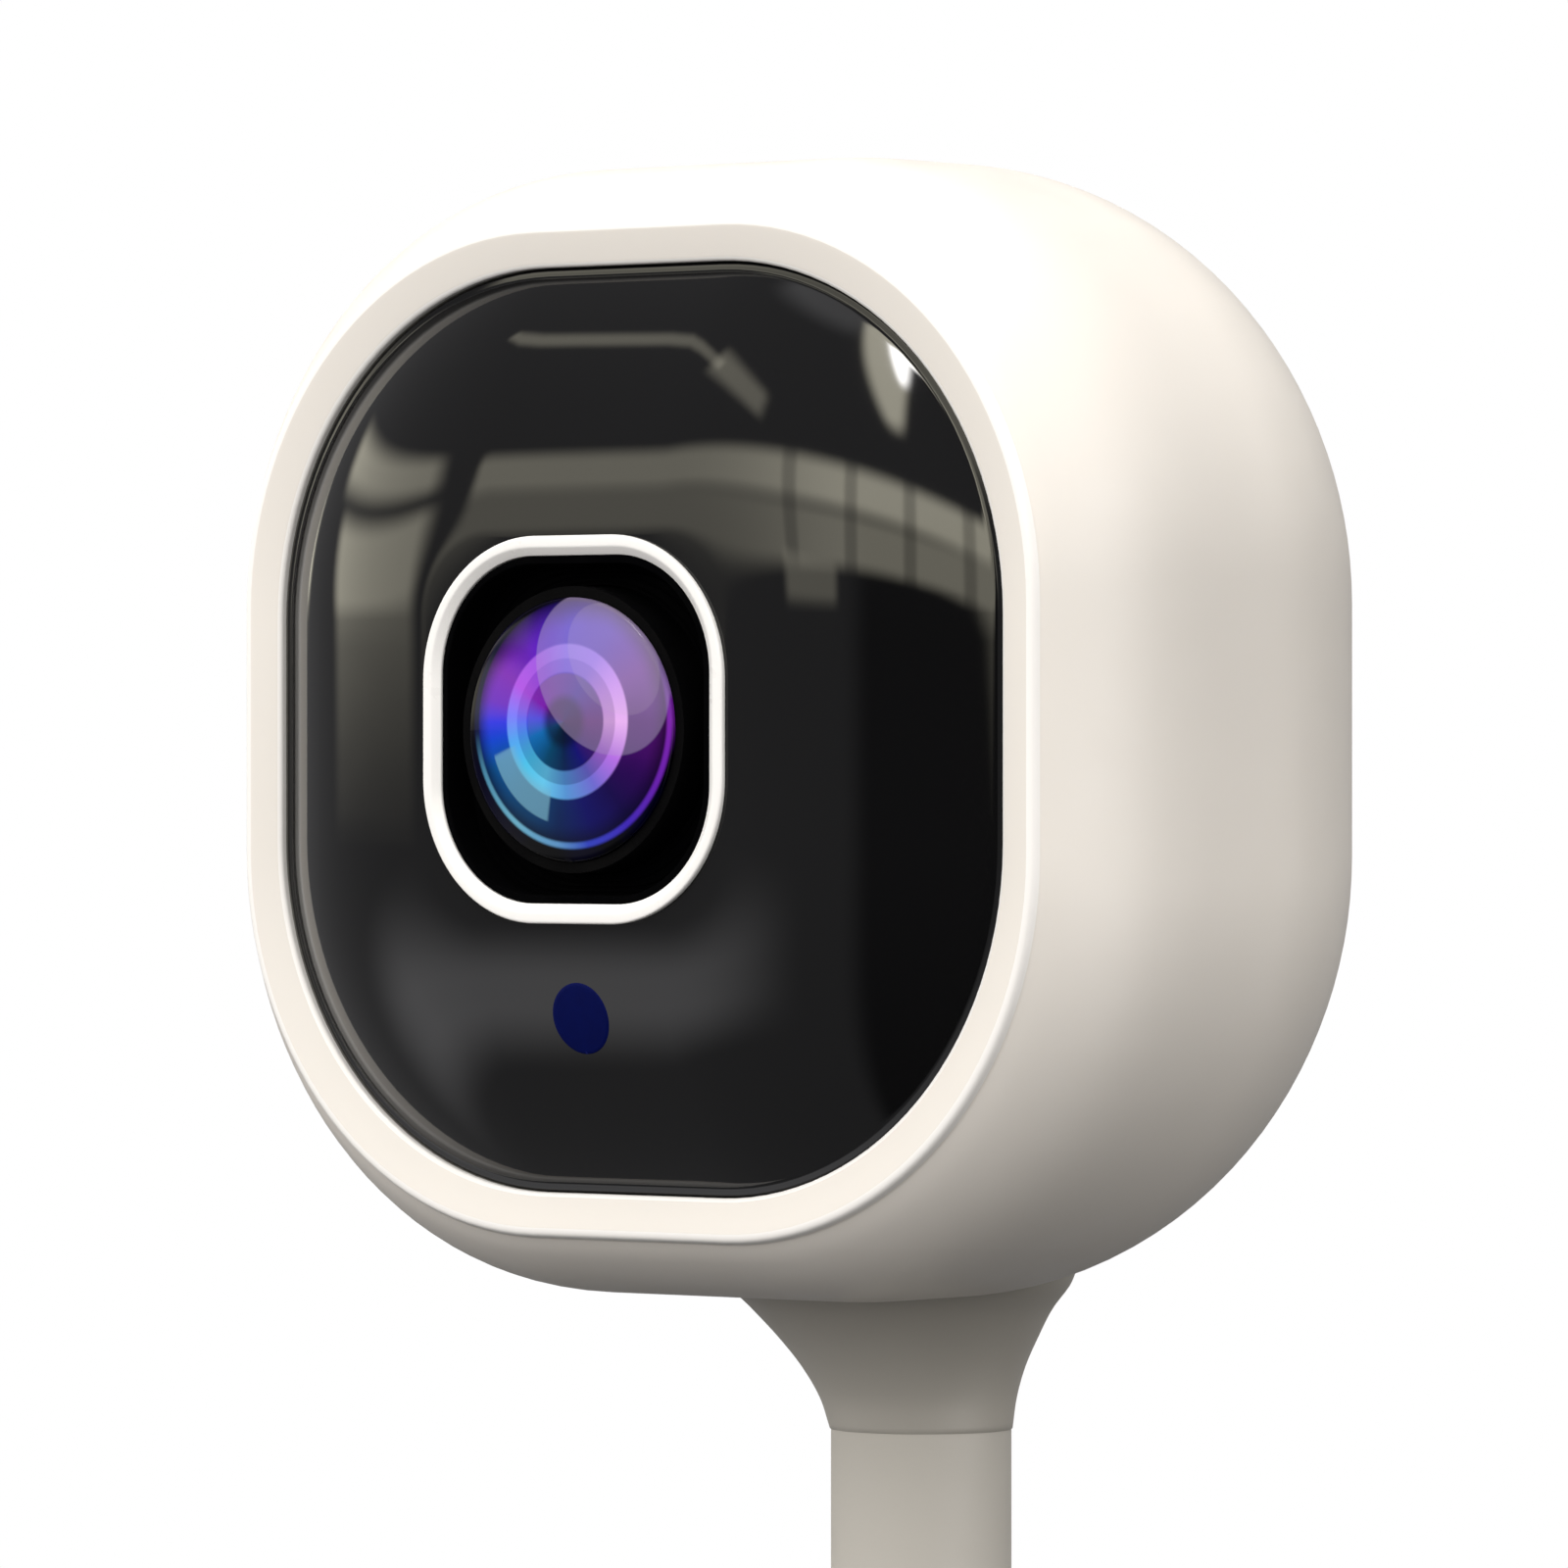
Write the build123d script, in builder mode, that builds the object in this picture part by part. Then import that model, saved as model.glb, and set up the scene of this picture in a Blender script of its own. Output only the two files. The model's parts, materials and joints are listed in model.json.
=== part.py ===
from build123d import *
import math
import os

# Small security camera head on a flexible gooseneck hose that ends in a USB-A plug.
# Millimetres. +Z runs up the hose, -Y is where the lens looks, +X is to the right as seen
# from the front. The origin is the middle of the plug's shoulder, where the metal shell leaves it.

os.makedirs("parts", exist_ok=True)

# ---------------------------------------------------------------- driving dimensions

# Head outline. Depths are measured back from the plane of the window's edge.
FRONT_HALF = 25.15        # half width of the bezel's outer edge
FRONT_STRAIGHT = 6.05     # half length of the straight side of the bezel outline
HEAD_HALF = 28.25         # half width of the swollen middle
HEAD_STRAIGHT = 7.25      # half length of its straight side
LIP_DEPTH = -0.4          # the bezel's outer edge stands this far in front of the window edge
LIP_CHAMFER = 0.35
SWELL_DEPTH = 11.5        # the head reaches its full width here
SWELL_POWER = 3.5         # how much of the swelling happens close to the bezel
BACK_START = 15.3         # the back starts to round off here
HEAD_DEPTH = 38.0
SPLIT_DEPTH = 30.0        # parting line between front housing and rear cover
WALL = 2.0

# Window and the domed front panel
WINDOW_HALF = 22.86
WINDOW_CORNER = 17.36
PANEL_APEX = -4.4         # the panel's flat middle stands in front of the bezel
DOME_RADIUS = 20.0
DOME_HALF = 29.5
DOME_CORNER = 24.0
PANEL_WALL = 1.8
PANEL_FIT = 0.08
LEDGE_DEPTH = 4.0
BULKHEAD_BACK = 5.5

# Lens rim and lens
RIM_OUTER = 9.48
RIM_OUTER_CORNER = 7.08
RIM_INNER = 8.5
RIM_INNER_CORNER = 5.84
RIM_FRONT = -4.7
RIM_FLANGE_BACK = -4.4
RIM_SKIRT_HALF = 9.1
RIM_SKIRT_CORNER = 6.7
RIM_BACK = -1.6
RIM_CHAMFER = 0.4         # slope inside the rim's front edge
BAFFLE_FRONT = -2.4
BAFFLE_FLOOR = 0.8
BAFFLE_WALL = 0.35
BAFFLE_WALL_FRONT = -4.2
LENS_RADIUS = 6.45
LENS_EDGE = -4.7
LENS_APEX = -5.5
LENS_BACK = -3.4
BARREL_RADIUS = 7.0
BARREL_THREAD_RADIUS = 6.0
BARREL_FRONT = -4.5
BARREL_STEP = 2.0
BARREL_BACK = 12.5

# Indicator window below the lens
DOT_RADIUS = 1.75
DOT_DROP = 14.1

# Circuit boards and what they carry
BOARD_FRONT = 16.0
BOARD_THICKNESS = 1.2
BOARD_HALF = 16.9
BOARD_CORNER = 11.0
POST_SPACING = 23.0
POST_RADIUS = 2.4
SCREW_RADIUS = 1.0
SCREW_HEAD_RADIUS = 1.9
SCREW_SEAT = 21.0
LED_BOARD_BACK = 6.7
LED_SPACING_X = 11.4
LED_SPACING_Z = 25.2
LED_RADIUS = 2.5
LED_FRONT = -1.0
ANTENNA_OUT = 25.2        # the aerial strip stands beside the right-hand wall

# Moving infrared filter
FILTER_DEPTH = 13.7
FILTER_THICKNESS = 1.0
FILTER_TRAVEL = 7.2

# Reset button in the rear cover
RESET_DROP = 13.2
RESET_RADIUS = 1.6
RESET_CLEARANCE = 0.1

# Hose
HOSE_BACK = 23.3          # the hose axis lies this far behind the window edge
SLEEVE_RADIUS = 4.6
SLEEVE_BORE = 3.3
CORE_RADIUS = 3.0
CORE_BORE = 1.85
CABLE_RADIUS = 1.6
JOINT_COUNT = 8
JOINT_PITCH = 13.0
FIRST_JOINT = 38.0
JOINT_BEND = 22.5         # degrees that each hose joint bends either way
END_CLEARANCE = 0.3
FLARE_LENGTH = 35.5       # from the seam at the flare's lower end to the head's centre

# Plug
PLUG_WIDTH = 16.0
PLUG_THICKNESS = 8.4
PLUG_LENGTH = 24.0
RELIEF_TOP = 36.0
USB_WIDTH = 12.0
USB_THICKNESS = 4.5
USB_LENGTH = 12.0
USB_INSIDE = 6.0
USB_WALL = 0.3

# Heights that follow from the ones above
joint_heights = [FIRST_JOINT + k * JOINT_PITCH for k in range(JOINT_COUNT)]
NECK_SEAM = joint_heights[-1] + 11.0
HEAD_HEIGHT = NECK_SEAM + FLARE_LENGTH


# ---------------------------------------------------------------- helpers

def face_plane(depth):
    """Plane across the head at a depth behind the window edge; its normal looks forward."""
    return Plane(origin=(0, depth - HOSE_BACK, HEAD_HEIGHT), x_dir=(1, 0, 0), z_dir=(0, -1, 0))


def level_plane(drop):
    """Horizontal plane on the hose axis, at a height given from the head's centre."""
    return Plane.XY.offset(HEAD_HEIGHT - drop)


def head_outline(depth, wall):
    """Half width and straight half length of the head's rounded square at a depth."""
    if depth < SWELL_DEPTH:
        inward = ((SWELL_DEPTH - depth) / SWELL_DEPTH) ** SWELL_POWER
        half = HEAD_HALF - (HEAD_HALF - FRONT_HALF) * inward
        straight = HEAD_STRAIGHT - (HEAD_STRAIGHT - FRONT_STRAIGHT) * inward
        return half - wall, straight
    if depth <= BACK_START:
        return HEAD_HALF - wall, HEAD_STRAIGHT
    reach = (depth - BACK_START) / (HEAD_DEPTH - wall - BACK_START)
    closing = math.sqrt(1 - reach**2)
    return (HEAD_HALF - wall) * closing, HEAD_STRAIGHT * closing


def pebble(first_depth, wall):
    """The head's swollen block, from a first depth to its rounded back, less a wall."""
    depths = [d for d in (0.0, 1.5, 3.0, 5.0, 8.0, SWELL_DEPTH, BACK_START) if d > first_depth]
    back_reach = HEAD_DEPTH - wall - BACK_START
    depths = [first_depth] + depths
    depths += [BACK_START + back_reach * math.sin(math.radians(a)) for a in (15, 30, 45, 58, 70, 79, 84)]
    with BuildPart() as block:
        for depth in depths:
            half, straight = head_outline(depth, wall)
            with BuildSketch(face_plane(depth)):
                RectangleRounded(2 * half, 2 * half, half - straight)
        loft()
    return block.part


def dome(inset):
    """A block with a domed front; a larger inset makes the smaller block inside the panel."""
    depth = 30.0
    with BuildPart() as block:
        with BuildSketch(face_plane(PANEL_APEX + inset)):
            RectangleRounded(2 * (DOME_HALF - inset), 2 * (DOME_HALF - inset), DOME_CORNER - inset)
        extrude(amount=-depth)
        front = block.faces().sort_by(Axis.Y)[0]
        fillet(front.edges(), DOME_RADIUS - inset)
    return block.part


def save(builder, name):
    """Label a finished piece and write it to its own file."""
    builder.part.label = name
    export_step(builder.part, f"parts/{name}.step")


outer_block = pebble(0.0, 0.0)
cavity_block = pebble(BULKHEAD_BACK, WALL)
panel_outside = dome(0.0)
panel_inside = dome(PANEL_WALL)

# ---------------------------------------------------------------- housings

# Thick floor where the neck stud is bolted on, kept inside the head's outline.
neck_boss_top = 21.4
nut_pocket_radius = 5.0
with BuildPart() as neck_boss:
    with BuildSketch(level_plane(HEAD_HALF)):
        Circle(6.6)
    extrude(amount=HEAD_HALF - neck_boss_top)
    add(outer_block, mode=Mode.INTERSECT)

# Front housing: bezel, side walls, the bulkhead behind the panel, screw bosses and neck boss.
with BuildPart() as front_housing:
    add(outer_block)
    with BuildSketch(face_plane(LIP_DEPTH)):
        lip_half = FRONT_HALF - LIP_CHAMFER
        RectangleRounded(2 * lip_half, 2 * lip_half, lip_half - FRONT_STRAIGHT)
    with BuildSketch(face_plane(0)):
        RectangleRounded(2 * FRONT_HALF, 2 * FRONT_HALF, FRONT_HALF - FRONT_STRAIGHT)
    loft(ruled=True)
    split(bisect_by=face_plane(SPLIT_DEPTH), keep=Keep.TOP)
    add(cavity_block, mode=Mode.SUBTRACT)
    # bezel face, sloping gently inward to the window edge
    with BuildSketch(face_plane(LIP_DEPTH)):
        funnel_half = lip_half - 0.1
        RectangleRounded(2 * funnel_half, 2 * funnel_half, funnel_half - FRONT_STRAIGHT)
    with BuildSketch(face_plane(0)):
        RectangleRounded(2 * WINDOW_HALF, 2 * WINDOW_HALF, WINDOW_CORNER)
    loft(ruled=True, mode=Mode.SUBTRACT)
    with BuildSketch(face_plane(0)):
        RectangleRounded(2 * WINDOW_HALF, 2 * WINDOW_HALF, WINDOW_CORNER)
    extrude(amount=-LEDGE_DEPTH, mode=Mode.SUBTRACT)
    # bosses for the long screws
    with BuildSketch(face_plane(BULKHEAD_BACK)):
        with GridLocations(POST_SPACING, POST_SPACING, 2, 2):
            Circle(POST_RADIUS)
    extrude(amount=BULKHEAD_BACK - BOARD_FRONT)
    with BuildSketch(face_plane(BOARD_FRONT)):
        with GridLocations(POST_SPACING, POST_SPACING, 2, 2):
            Circle(SCREW_RADIUS)
    extrude(amount=8.5, mode=Mode.SUBTRACT)
    # holes for the lens barrel, the infrared lamps and the indicator's light pipe
    with BuildSketch(face_plane(LEDGE_DEPTH)):
        Circle(BARREL_RADIUS + 0.5)
        with GridLocations(LED_SPACING_X, LED_SPACING_Z, 2, 2):
            Circle(LED_RADIUS + 0.25)
        with Locations((0, -DOT_DROP)):
            Circle(DOT_RADIUS + 0.2)
    extrude(amount=LEDGE_DEPTH - BULKHEAD_BACK, mode=Mode.SUBTRACT)
    # floor for the neck stud, with a level seat for its nut
    add(neck_boss.part)
    with BuildSketch(level_plane(neck_boss_top)):
        Circle(nut_pocket_radius)
    extrude(amount=4, mode=Mode.SUBTRACT)
    with BuildSketch(level_plane(HEAD_HALF + 1)):
        Circle(CORE_RADIUS + 0.1)
    extrude(amount=12, mode=Mode.SUBTRACT)
save(front_housing, "front_housing")

# Rear cover: shallow dome with a locating lip, screw posts, speaker holes and card slot.
lip_wall = 1.3
lip_reach = 2.2
with BuildPart() as rear_cover:
    add(outer_block)
    split(bisect_by=face_plane(SPLIT_DEPTH + 0.05), keep=Keep.BOTTOM)
    add(cavity_block, mode=Mode.SUBTRACT)
    # lip inside the front housing
    lip_half_rear, lip_straight_rear = head_outline(SPLIT_DEPTH, WALL + 0.15)
    with BuildSketch(face_plane(SPLIT_DEPTH + 1.2)):
        RectangleRounded(2 * lip_half_rear, 2 * lip_half_rear, lip_half_rear - lip_straight_rear)
        inner = lip_half_rear - lip_wall
        RectangleRounded(2 * inner, 2 * inner, inner - lip_straight_rear, mode=Mode.SUBTRACT)
    extrude(amount=1.2 + lip_reach)
    # screw posts down to the main board
    with BuildSketch(face_plane(BOARD_FRONT + BOARD_THICKNESS)):
        with GridLocations(POST_SPACING, POST_SPACING, 2, 2):
            Circle(POST_RADIUS)
    extrude(amount=BOARD_FRONT + BOARD_THICKNESS - SPLIT_DEPTH - 3.2)
    with BuildSketch(face_plane(HEAD_DEPTH)):
        with GridLocations(POST_SPACING, POST_SPACING, 2, 2):
            Circle(SCREW_HEAD_RADIUS)
    extrude(amount=HEAD_DEPTH - SCREW_SEAT, mode=Mode.SUBTRACT)
    with BuildSketch(face_plane(HEAD_DEPTH)):
        with GridLocations(POST_SPACING, POST_SPACING, 2, 2):
            Circle(SCREW_RADIUS + 0.1)
    extrude(amount=HEAD_DEPTH - BOARD_FRONT, mode=Mode.SUBTRACT)
    # speaker holes, in a hexagon of hexagons
    with BuildSketch(face_plane(HEAD_DEPTH)):
        with Locations((0, 6)):
            with HexLocations(1.4, 3, 3):
                Circle(0.6)
    extrude(amount=5, mode=Mode.SUBTRACT)
    # card slot and reset hole
    with BuildSketch(face_plane(HEAD_DEPTH)):
        with Locations((0, -6.9)):
            RectangleRounded(12.4, 1.8, 0.5)
        with Locations((0, -RESET_DROP)):
            Circle(RESET_RADIUS + RESET_CLEARANCE)
    extrude(amount=7, mode=Mode.SUBTRACT)
save(rear_cover, "rear_cover")

# ---------------------------------------------------------------- front panel and lens rim

with BuildPart() as front_panel:
    with BuildSketch(face_plane(LEDGE_DEPTH)):
        panel_half = WINDOW_HALF - PANEL_FIT
        RectangleRounded(2 * panel_half, 2 * panel_half, WINDOW_CORNER - PANEL_FIT)
    extrude(amount=LEDGE_DEPTH - PANEL_APEX + 1)
    add(panel_outside, mode=Mode.INTERSECT)
    # hollow behind the dome, with a straight skirt that stands on the bulkhead
    with BuildPart(mode=Mode.PRIVATE) as hollow:
        with BuildSketch(face_plane(LEDGE_DEPTH)):
            skirt_half = panel_half - PANEL_WALL
            RectangleRounded(2 * skirt_half, 2 * skirt_half, WINDOW_CORNER - PANEL_FIT - PANEL_WALL)
        extrude(amount=LEDGE_DEPTH - PANEL_APEX + 1)
        add(panel_inside, mode=Mode.INTERSECT)
    add(hollow.part, mode=Mode.SUBTRACT)
    with BuildSketch(face_plane(PANEL_APEX - 1)):
        RectangleRounded(2 * RIM_SKIRT_HALF + 0.1, 2 * RIM_SKIRT_HALF + 0.1, RIM_SKIRT_CORNER + 0.05)
        with Locations((0, -DOT_DROP)):
            Circle(DOT_RADIUS + 0.05)
    extrude(amount=-5, mode=Mode.SUBTRACT)
save(front_panel, "front_panel")

with BuildPart() as lens_rim:
    with BuildSketch(face_plane(RIM_FLANGE_BACK)):
        RectangleRounded(2 * RIM_OUTER, 2 * RIM_OUTER, RIM_OUTER_CORNER)
    extrude(amount=RIM_FLANGE_BACK - RIM_FRONT)
    with BuildSketch(face_plane(RIM_FLANGE_BACK)):
        RectangleRounded(2 * RIM_SKIRT_HALF, 2 * RIM_SKIRT_HALF, RIM_SKIRT_CORNER)
    extrude(amount=RIM_FLANGE_BACK - RIM_BACK)
    with BuildSketch(face_plane(RIM_FRONT - 1)):
        RectangleRounded(2 * RIM_INNER, 2 * RIM_INNER, RIM_INNER_CORNER)
    extrude(amount=-6, mode=Mode.SUBTRACT)
    rim_face = lens_rim.faces().sort_by(Axis.Y)[0]
    chamfer(rim_face.outer_wire().edges(), 0.12)
    rim_face = lens_rim.faces().sort_by(Axis.Y)[0]
    chamfer(rim_face.inner_wires()[0].edges(), RIM_CHAMFER)
save(lens_rim, "lens_rim")

# Black cup inside the rim: a floor round the lens barrel and a thin wall up to the rim.
with BuildPart() as lens_baffle:
    baffle_half = RIM_INNER - 0.05
    baffle_inner = baffle_half - BAFFLE_WALL
    with BuildSketch(face_plane(BAFFLE_FRONT + BAFFLE_FLOOR)):
        RectangleRounded(2 * baffle_half, 2 * baffle_half, RIM_INNER_CORNER - 0.05)
    extrude(amount=BAFFLE_FRONT + BAFFLE_FLOOR - BAFFLE_WALL_FRONT)
    with BuildSketch(face_plane(BAFFLE_FRONT)):
        RectangleRounded(2 * baffle_inner, 2 * baffle_inner, RIM_INNER_CORNER - 0.05 - BAFFLE_WALL)
    extrude(amount=3, mode=Mode.SUBTRACT)
    with BuildSketch(face_plane(BAFFLE_FRONT + 1)):
        Circle(BARREL_RADIUS + 0.1)
    extrude(amount=3, mode=Mode.SUBTRACT)
save(lens_baffle, "lens_baffle")

# Light pipe whose front end is ground flush with the panel's dome.
with BuildPart() as indicator_window:
    with BuildSketch(face_plane(LEDGE_DEPTH + 1)):
        with Locations((0, -DOT_DROP)):
            Circle(DOT_RADIUS)
    extrude(amount=LEDGE_DEPTH + 2 - PANEL_APEX)
    add(panel_outside, mode=Mode.INTERSECT)
save(indicator_window, "indicator_window")

# ---------------------------------------------------------------- optics


def lens_axis_turn(outline):
    """Turn a closed outline of (radius, depth) points about the optical axis."""
    with BuildPart() as turned:
        with BuildSketch(Plane(origin=(0, -HOSE_BACK, HEAD_HEIGHT), x_dir=(1, 0, 0), z_dir=(0, 0, 1))):
            with BuildLine():
                Polyline(*outline, close=True)
            make_face()
        revolve(axis=Axis((0, 0, HEAD_HEIGHT), (0, 1, 0)))
    return turned


# Front lens: a shallow spherical cap on a flat back.
lens_sag = LENS_EDGE - LENS_APEX
with BuildPart() as front_lens:
    with BuildSketch(Plane(origin=(0, -HOSE_BACK, HEAD_HEIGHT), x_dir=(1, 0, 0), z_dir=(0, 0, 1))):
        with BuildLine():
            cap_radius = (LENS_RADIUS**2 + lens_sag**2) / (2 * lens_sag)
            half_angle = math.asin(LENS_RADIUS / cap_radius) / 2
            shoulder = cap_radius * math.sin(half_angle)
            rise = cap_radius * (1 - math.cos(half_angle))
            ThreePointArc((0, LENS_APEX), (shoulder, LENS_APEX + rise), (LENS_RADIUS, LENS_EDGE))
            Polyline((LENS_RADIUS, LENS_EDGE), (LENS_RADIUS, LENS_BACK), (0, LENS_BACK), (0, LENS_APEX))
        make_face()
    revolve(axis=Axis((0, 0, HEAD_HEIGHT), (0, 1, 0)))
save(front_lens, "front_lens")

barrel_bore = 4.4
lens_barrel = lens_axis_turn([
    (LENS_RADIUS + 0.03, BARREL_FRONT),
    (BARREL_RADIUS, BARREL_FRONT),
    (BARREL_RADIUS, BARREL_STEP),
    (BARREL_THREAD_RADIUS, BARREL_STEP),
    (BARREL_THREAD_RADIUS, BARREL_BACK),
    (barrel_bore - 1, BARREL_BACK),
    (barrel_bore - 1, BARREL_BACK - 4),
    (barrel_bore, BARREL_BACK - 4),
    (barrel_bore, LENS_BACK + 0.05),
    (LENS_RADIUS + 0.03, LENS_BACK + 0.05),
])
save(lens_barrel, "lens_barrel")

rear_lens = lens_axis_turn([(0, 5), (barrel_bore - 0.03, 5.6), (barrel_bore - 0.03, 7.4), (0, 8)])
save(rear_lens, "rear_lens")

# Lens holder: screwed tube on a box that hides the sliding filter.
holder_half_x = 12.2
holder_half_z = 6.8
cavity_clearance = 0.4
filter_half_z = 4.2
with BuildPart() as lens_holder:
    with BuildSketch(face_plane(BARREL_BACK + 0.5)):
        RectangleRounded(2 * holder_half_x, 2 * holder_half_z, 1)
    extrude(amount=BARREL_BACK + 0.5 - BOARD_FRONT)
    with BuildSketch(face_plane(BARREL_BACK + 0.5)):
        Circle(BARREL_THREAD_RADIUS + 1.2)
    extrude(amount=4.5)
    with BuildSketch(face_plane(7)):
        Circle(BARREL_THREAD_RADIUS + 0.03)
    extrude(amount=7 - BARREL_BACK - 0.1, mode=Mode.SUBTRACT)
    with BuildSketch(face_plane(BARREL_BACK)):
        Circle(3.6)
    extrude(amount=-5, mode=Mode.SUBTRACT)
    with BuildSketch(face_plane(FILTER_DEPTH - cavity_clearance)):
        Rectangle(2 * (holder_half_x - 0.7), 2 * (filter_half_z + cavity_clearance))
    extrude(amount=FILTER_DEPTH - cavity_clearance - BOARD_FRONT, mode=Mode.SUBTRACT)
save(lens_holder, "lens_holder")

# Filter carrier: two windows side by side, infrared cut at the lens by day, clear by night.
with BuildPart() as ir_filter_carrier:
    with BuildSketch(face_plane(FILTER_DEPTH)):
        with Locations((-FILTER_TRAVEL / 2, 0)):
            Rectangle(FILTER_TRAVEL + 7.8, 2 * filter_half_z)
        with Locations((0, 0), (-FILTER_TRAVEL, 0)):
            Circle(2.9, mode=Mode.SUBTRACT)
    extrude(amount=-FILTER_THICKNESS)
save(ir_filter_carrier, "ir_filter_carrier")

with BuildPart() as ir_cut_glass:
    with BuildSketch(face_plane(FILTER_DEPTH + 0.2)):
        Circle(2.88)
    extrude(amount=-0.5)
save(ir_cut_glass, "ir_cut_glass")

with BuildPart() as ir_cut_coil:
    with BuildSketch(face_plane(BARREL_BACK + 0.5)):
        with Locations((0, holder_half_z + 2.05)):
            RectangleRounded(9, 4, 0.6)
    extrude(amount=-2.9)
save(ir_cut_coil, "ir_cut_coil")

with BuildPart() as image_sensor:
    with BuildSketch(face_plane(BOARD_FRONT)):
        Rectangle(6.6, 5.4)
    extrude(amount=0.7)
save(image_sensor, "image_sensor")

# ---------------------------------------------------------------- boards and electronics

with BuildPart() as main_board:
    with BuildSketch(face_plane(BOARD_FRONT)):
        RectangleRounded(2 * BOARD_HALF, 2 * BOARD_HALF, BOARD_CORNER)
        with GridLocations(POST_SPACING, POST_SPACING, 2, 2):
            Circle(SCREW_RADIUS + 0.1, mode=Mode.SUBTRACT)
    extrude(amount=-BOARD_THICKNESS)
save(main_board, "main_board")

with BuildPart() as led_board:
    with BuildSketch(face_plane(BULKHEAD_BACK + 0.05)):
        RectangleRounded(18, 33.4, 2)
        Circle(BARREL_RADIUS + 0.4, mode=Mode.SUBTRACT)
    extrude(amount=BULKHEAD_BACK + 0.05 - LED_BOARD_BACK)
save(led_board, "led_board")

with BuildPart() as ir_leds:
    with BuildSketch(face_plane(BULKHEAD_BACK)):
        with GridLocations(LED_SPACING_X, LED_SPACING_Z, 2, 2):
            Circle(LED_RADIUS)
    extrude(amount=BULKHEAD_BACK - LED_FRONT)
    fillet(ir_leds.edges().group_by(Axis.Y)[0], LED_RADIUS - 0.2)
save(ir_leds, "ir_leds")

board_back = BOARD_FRONT + BOARD_THICKNESS
with BuildPart() as soc_chip:
    with BuildSketch(face_plane(board_back)):
        with Locations((0, 3)):
            Rectangle(10, 10)
    extrude(amount=-1.0)
save(soc_chip, "soc_chip")

with BuildPart() as heat_spreader:
    with BuildSketch(face_plane(board_back + 1.05)):
        with Locations((0, 3)):
            RectangleRounded(15, 15, 1)
    extrude(amount=-1.0)
    with BuildSketch(face_plane(board_back + 2.05)):
        with Locations((0, 3)):
            with GridLocations(2.4, 0, 6, 1):
                Rectangle(0.8, 14)
    extrude(amount=-2.5)
save(heat_spreader, "heat_spreader")

with BuildPart() as wifi_shield:
    with BuildSketch(face_plane(board_back)):
        with Locations((0, 13)):
            RectangleRounded(12, 4.6, 0.4)
    extrude(amount=-2.2)
save(wifi_shield, "wifi_shield")

with BuildPart() as antenna:
    with BuildSketch(face_plane(9)):
        with Locations((ANTENNA_OUT, 0)):
            RectangleRounded(0.8, 14, 0.3)
    extrude(amount=-8)
save(antenna, "antenna")

with BuildPart() as microphone:
    with BuildSketch(face_plane(BOARD_FRONT)):
        with Locations((0, -13.6)):
            Circle(2.0)
    extrude(amount=1.6)
save(microphone, "microphone")

speaker_front = 26.6
with BuildPart() as speaker:
    with BuildSketch(face_plane(speaker_front)):
        with Locations((0, 6)):
            Circle(6.4)
    extrude(amount=-1.6)
    with BuildSketch(face_plane(speaker_front + 1.6)):
        with Locations((0, 6)):
            Circle(8.6)
    extrude(amount=-2.6)
    with BuildSketch(face_plane(speaker_front + 4.2)):
        with Locations((0, 6)):
            Circle(7.4)
    extrude(amount=1.2, mode=Mode.SUBTRACT)
save(speaker, "speaker")

card_board_drop = 8.9
with BuildPart() as card_board:
    with BuildSketch(Plane.XY.offset(HEAD_HEIGHT - card_board_drop)):
        with Locations((0, (board_back + 33.0) / 2 - HOSE_BACK)):
            Rectangle(17, 33.0 - board_back - 0.1)
    extrude(amount=1.0)
save(card_board, "card_board")

with BuildPart() as microsd_socket:
    with BuildSketch(Plane.XY.offset(HEAD_HEIGHT - card_board_drop + 1.0)):
        with Locations((0, 26 - HOSE_BACK)):
            Rectangle(14, 13)
    extrude(amount=1.9)
    with BuildSketch(face_plane(33)):
        with Locations((0, -6.9)):
            Rectangle(11.4, 1.1)
    extrude(amount=12, mode=Mode.SUBTRACT)
save(microsd_socket, "microsd_socket")

# Reset button: a capped plunger held in the rear cover by its flange.
reset_cap_back = 36.2
with BuildPart() as reset_button:
    with BuildSketch(face_plane(reset_cap_back)):
        with Locations((0, -RESET_DROP)):
            Circle(RESET_RADIUS)
    extrude(amount=4.8)
    with BuildSketch(face_plane(reset_cap_back - 4.8)):
        with Locations((0, -RESET_DROP)):
            Circle(RESET_RADIUS + 0.7)
    extrude(amount=0.8)
save(reset_button, "reset_button")

with BuildPart() as board_screws:
    with BuildSketch(face_plane(SCREW_SEAT)):
        with GridLocations(POST_SPACING, POST_SPACING, 2, 2):
            Circle(SCREW_HEAD_RADIUS - 0.15)
    extrude(amount=-1.4)
    with BuildSketch(face_plane(SCREW_SEAT)):
        with GridLocations(POST_SPACING, POST_SPACING, 2, 2):
            Circle(SCREW_RADIUS - 0.02)
    extrude(amount=SCREW_SEAT - 8.0)
    with BuildSketch(face_plane(SCREW_SEAT + 1.4)):
        with GridLocations(POST_SPACING, POST_SPACING, 2, 2):
            Rectangle(1.9, 0.5)
            Rectangle(0.5, 1.9)
    extrude(amount=0.7, mode=Mode.SUBTRACT)
save(board_screws, "board_screws")

# ---------------------------------------------------------------- neck

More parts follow.
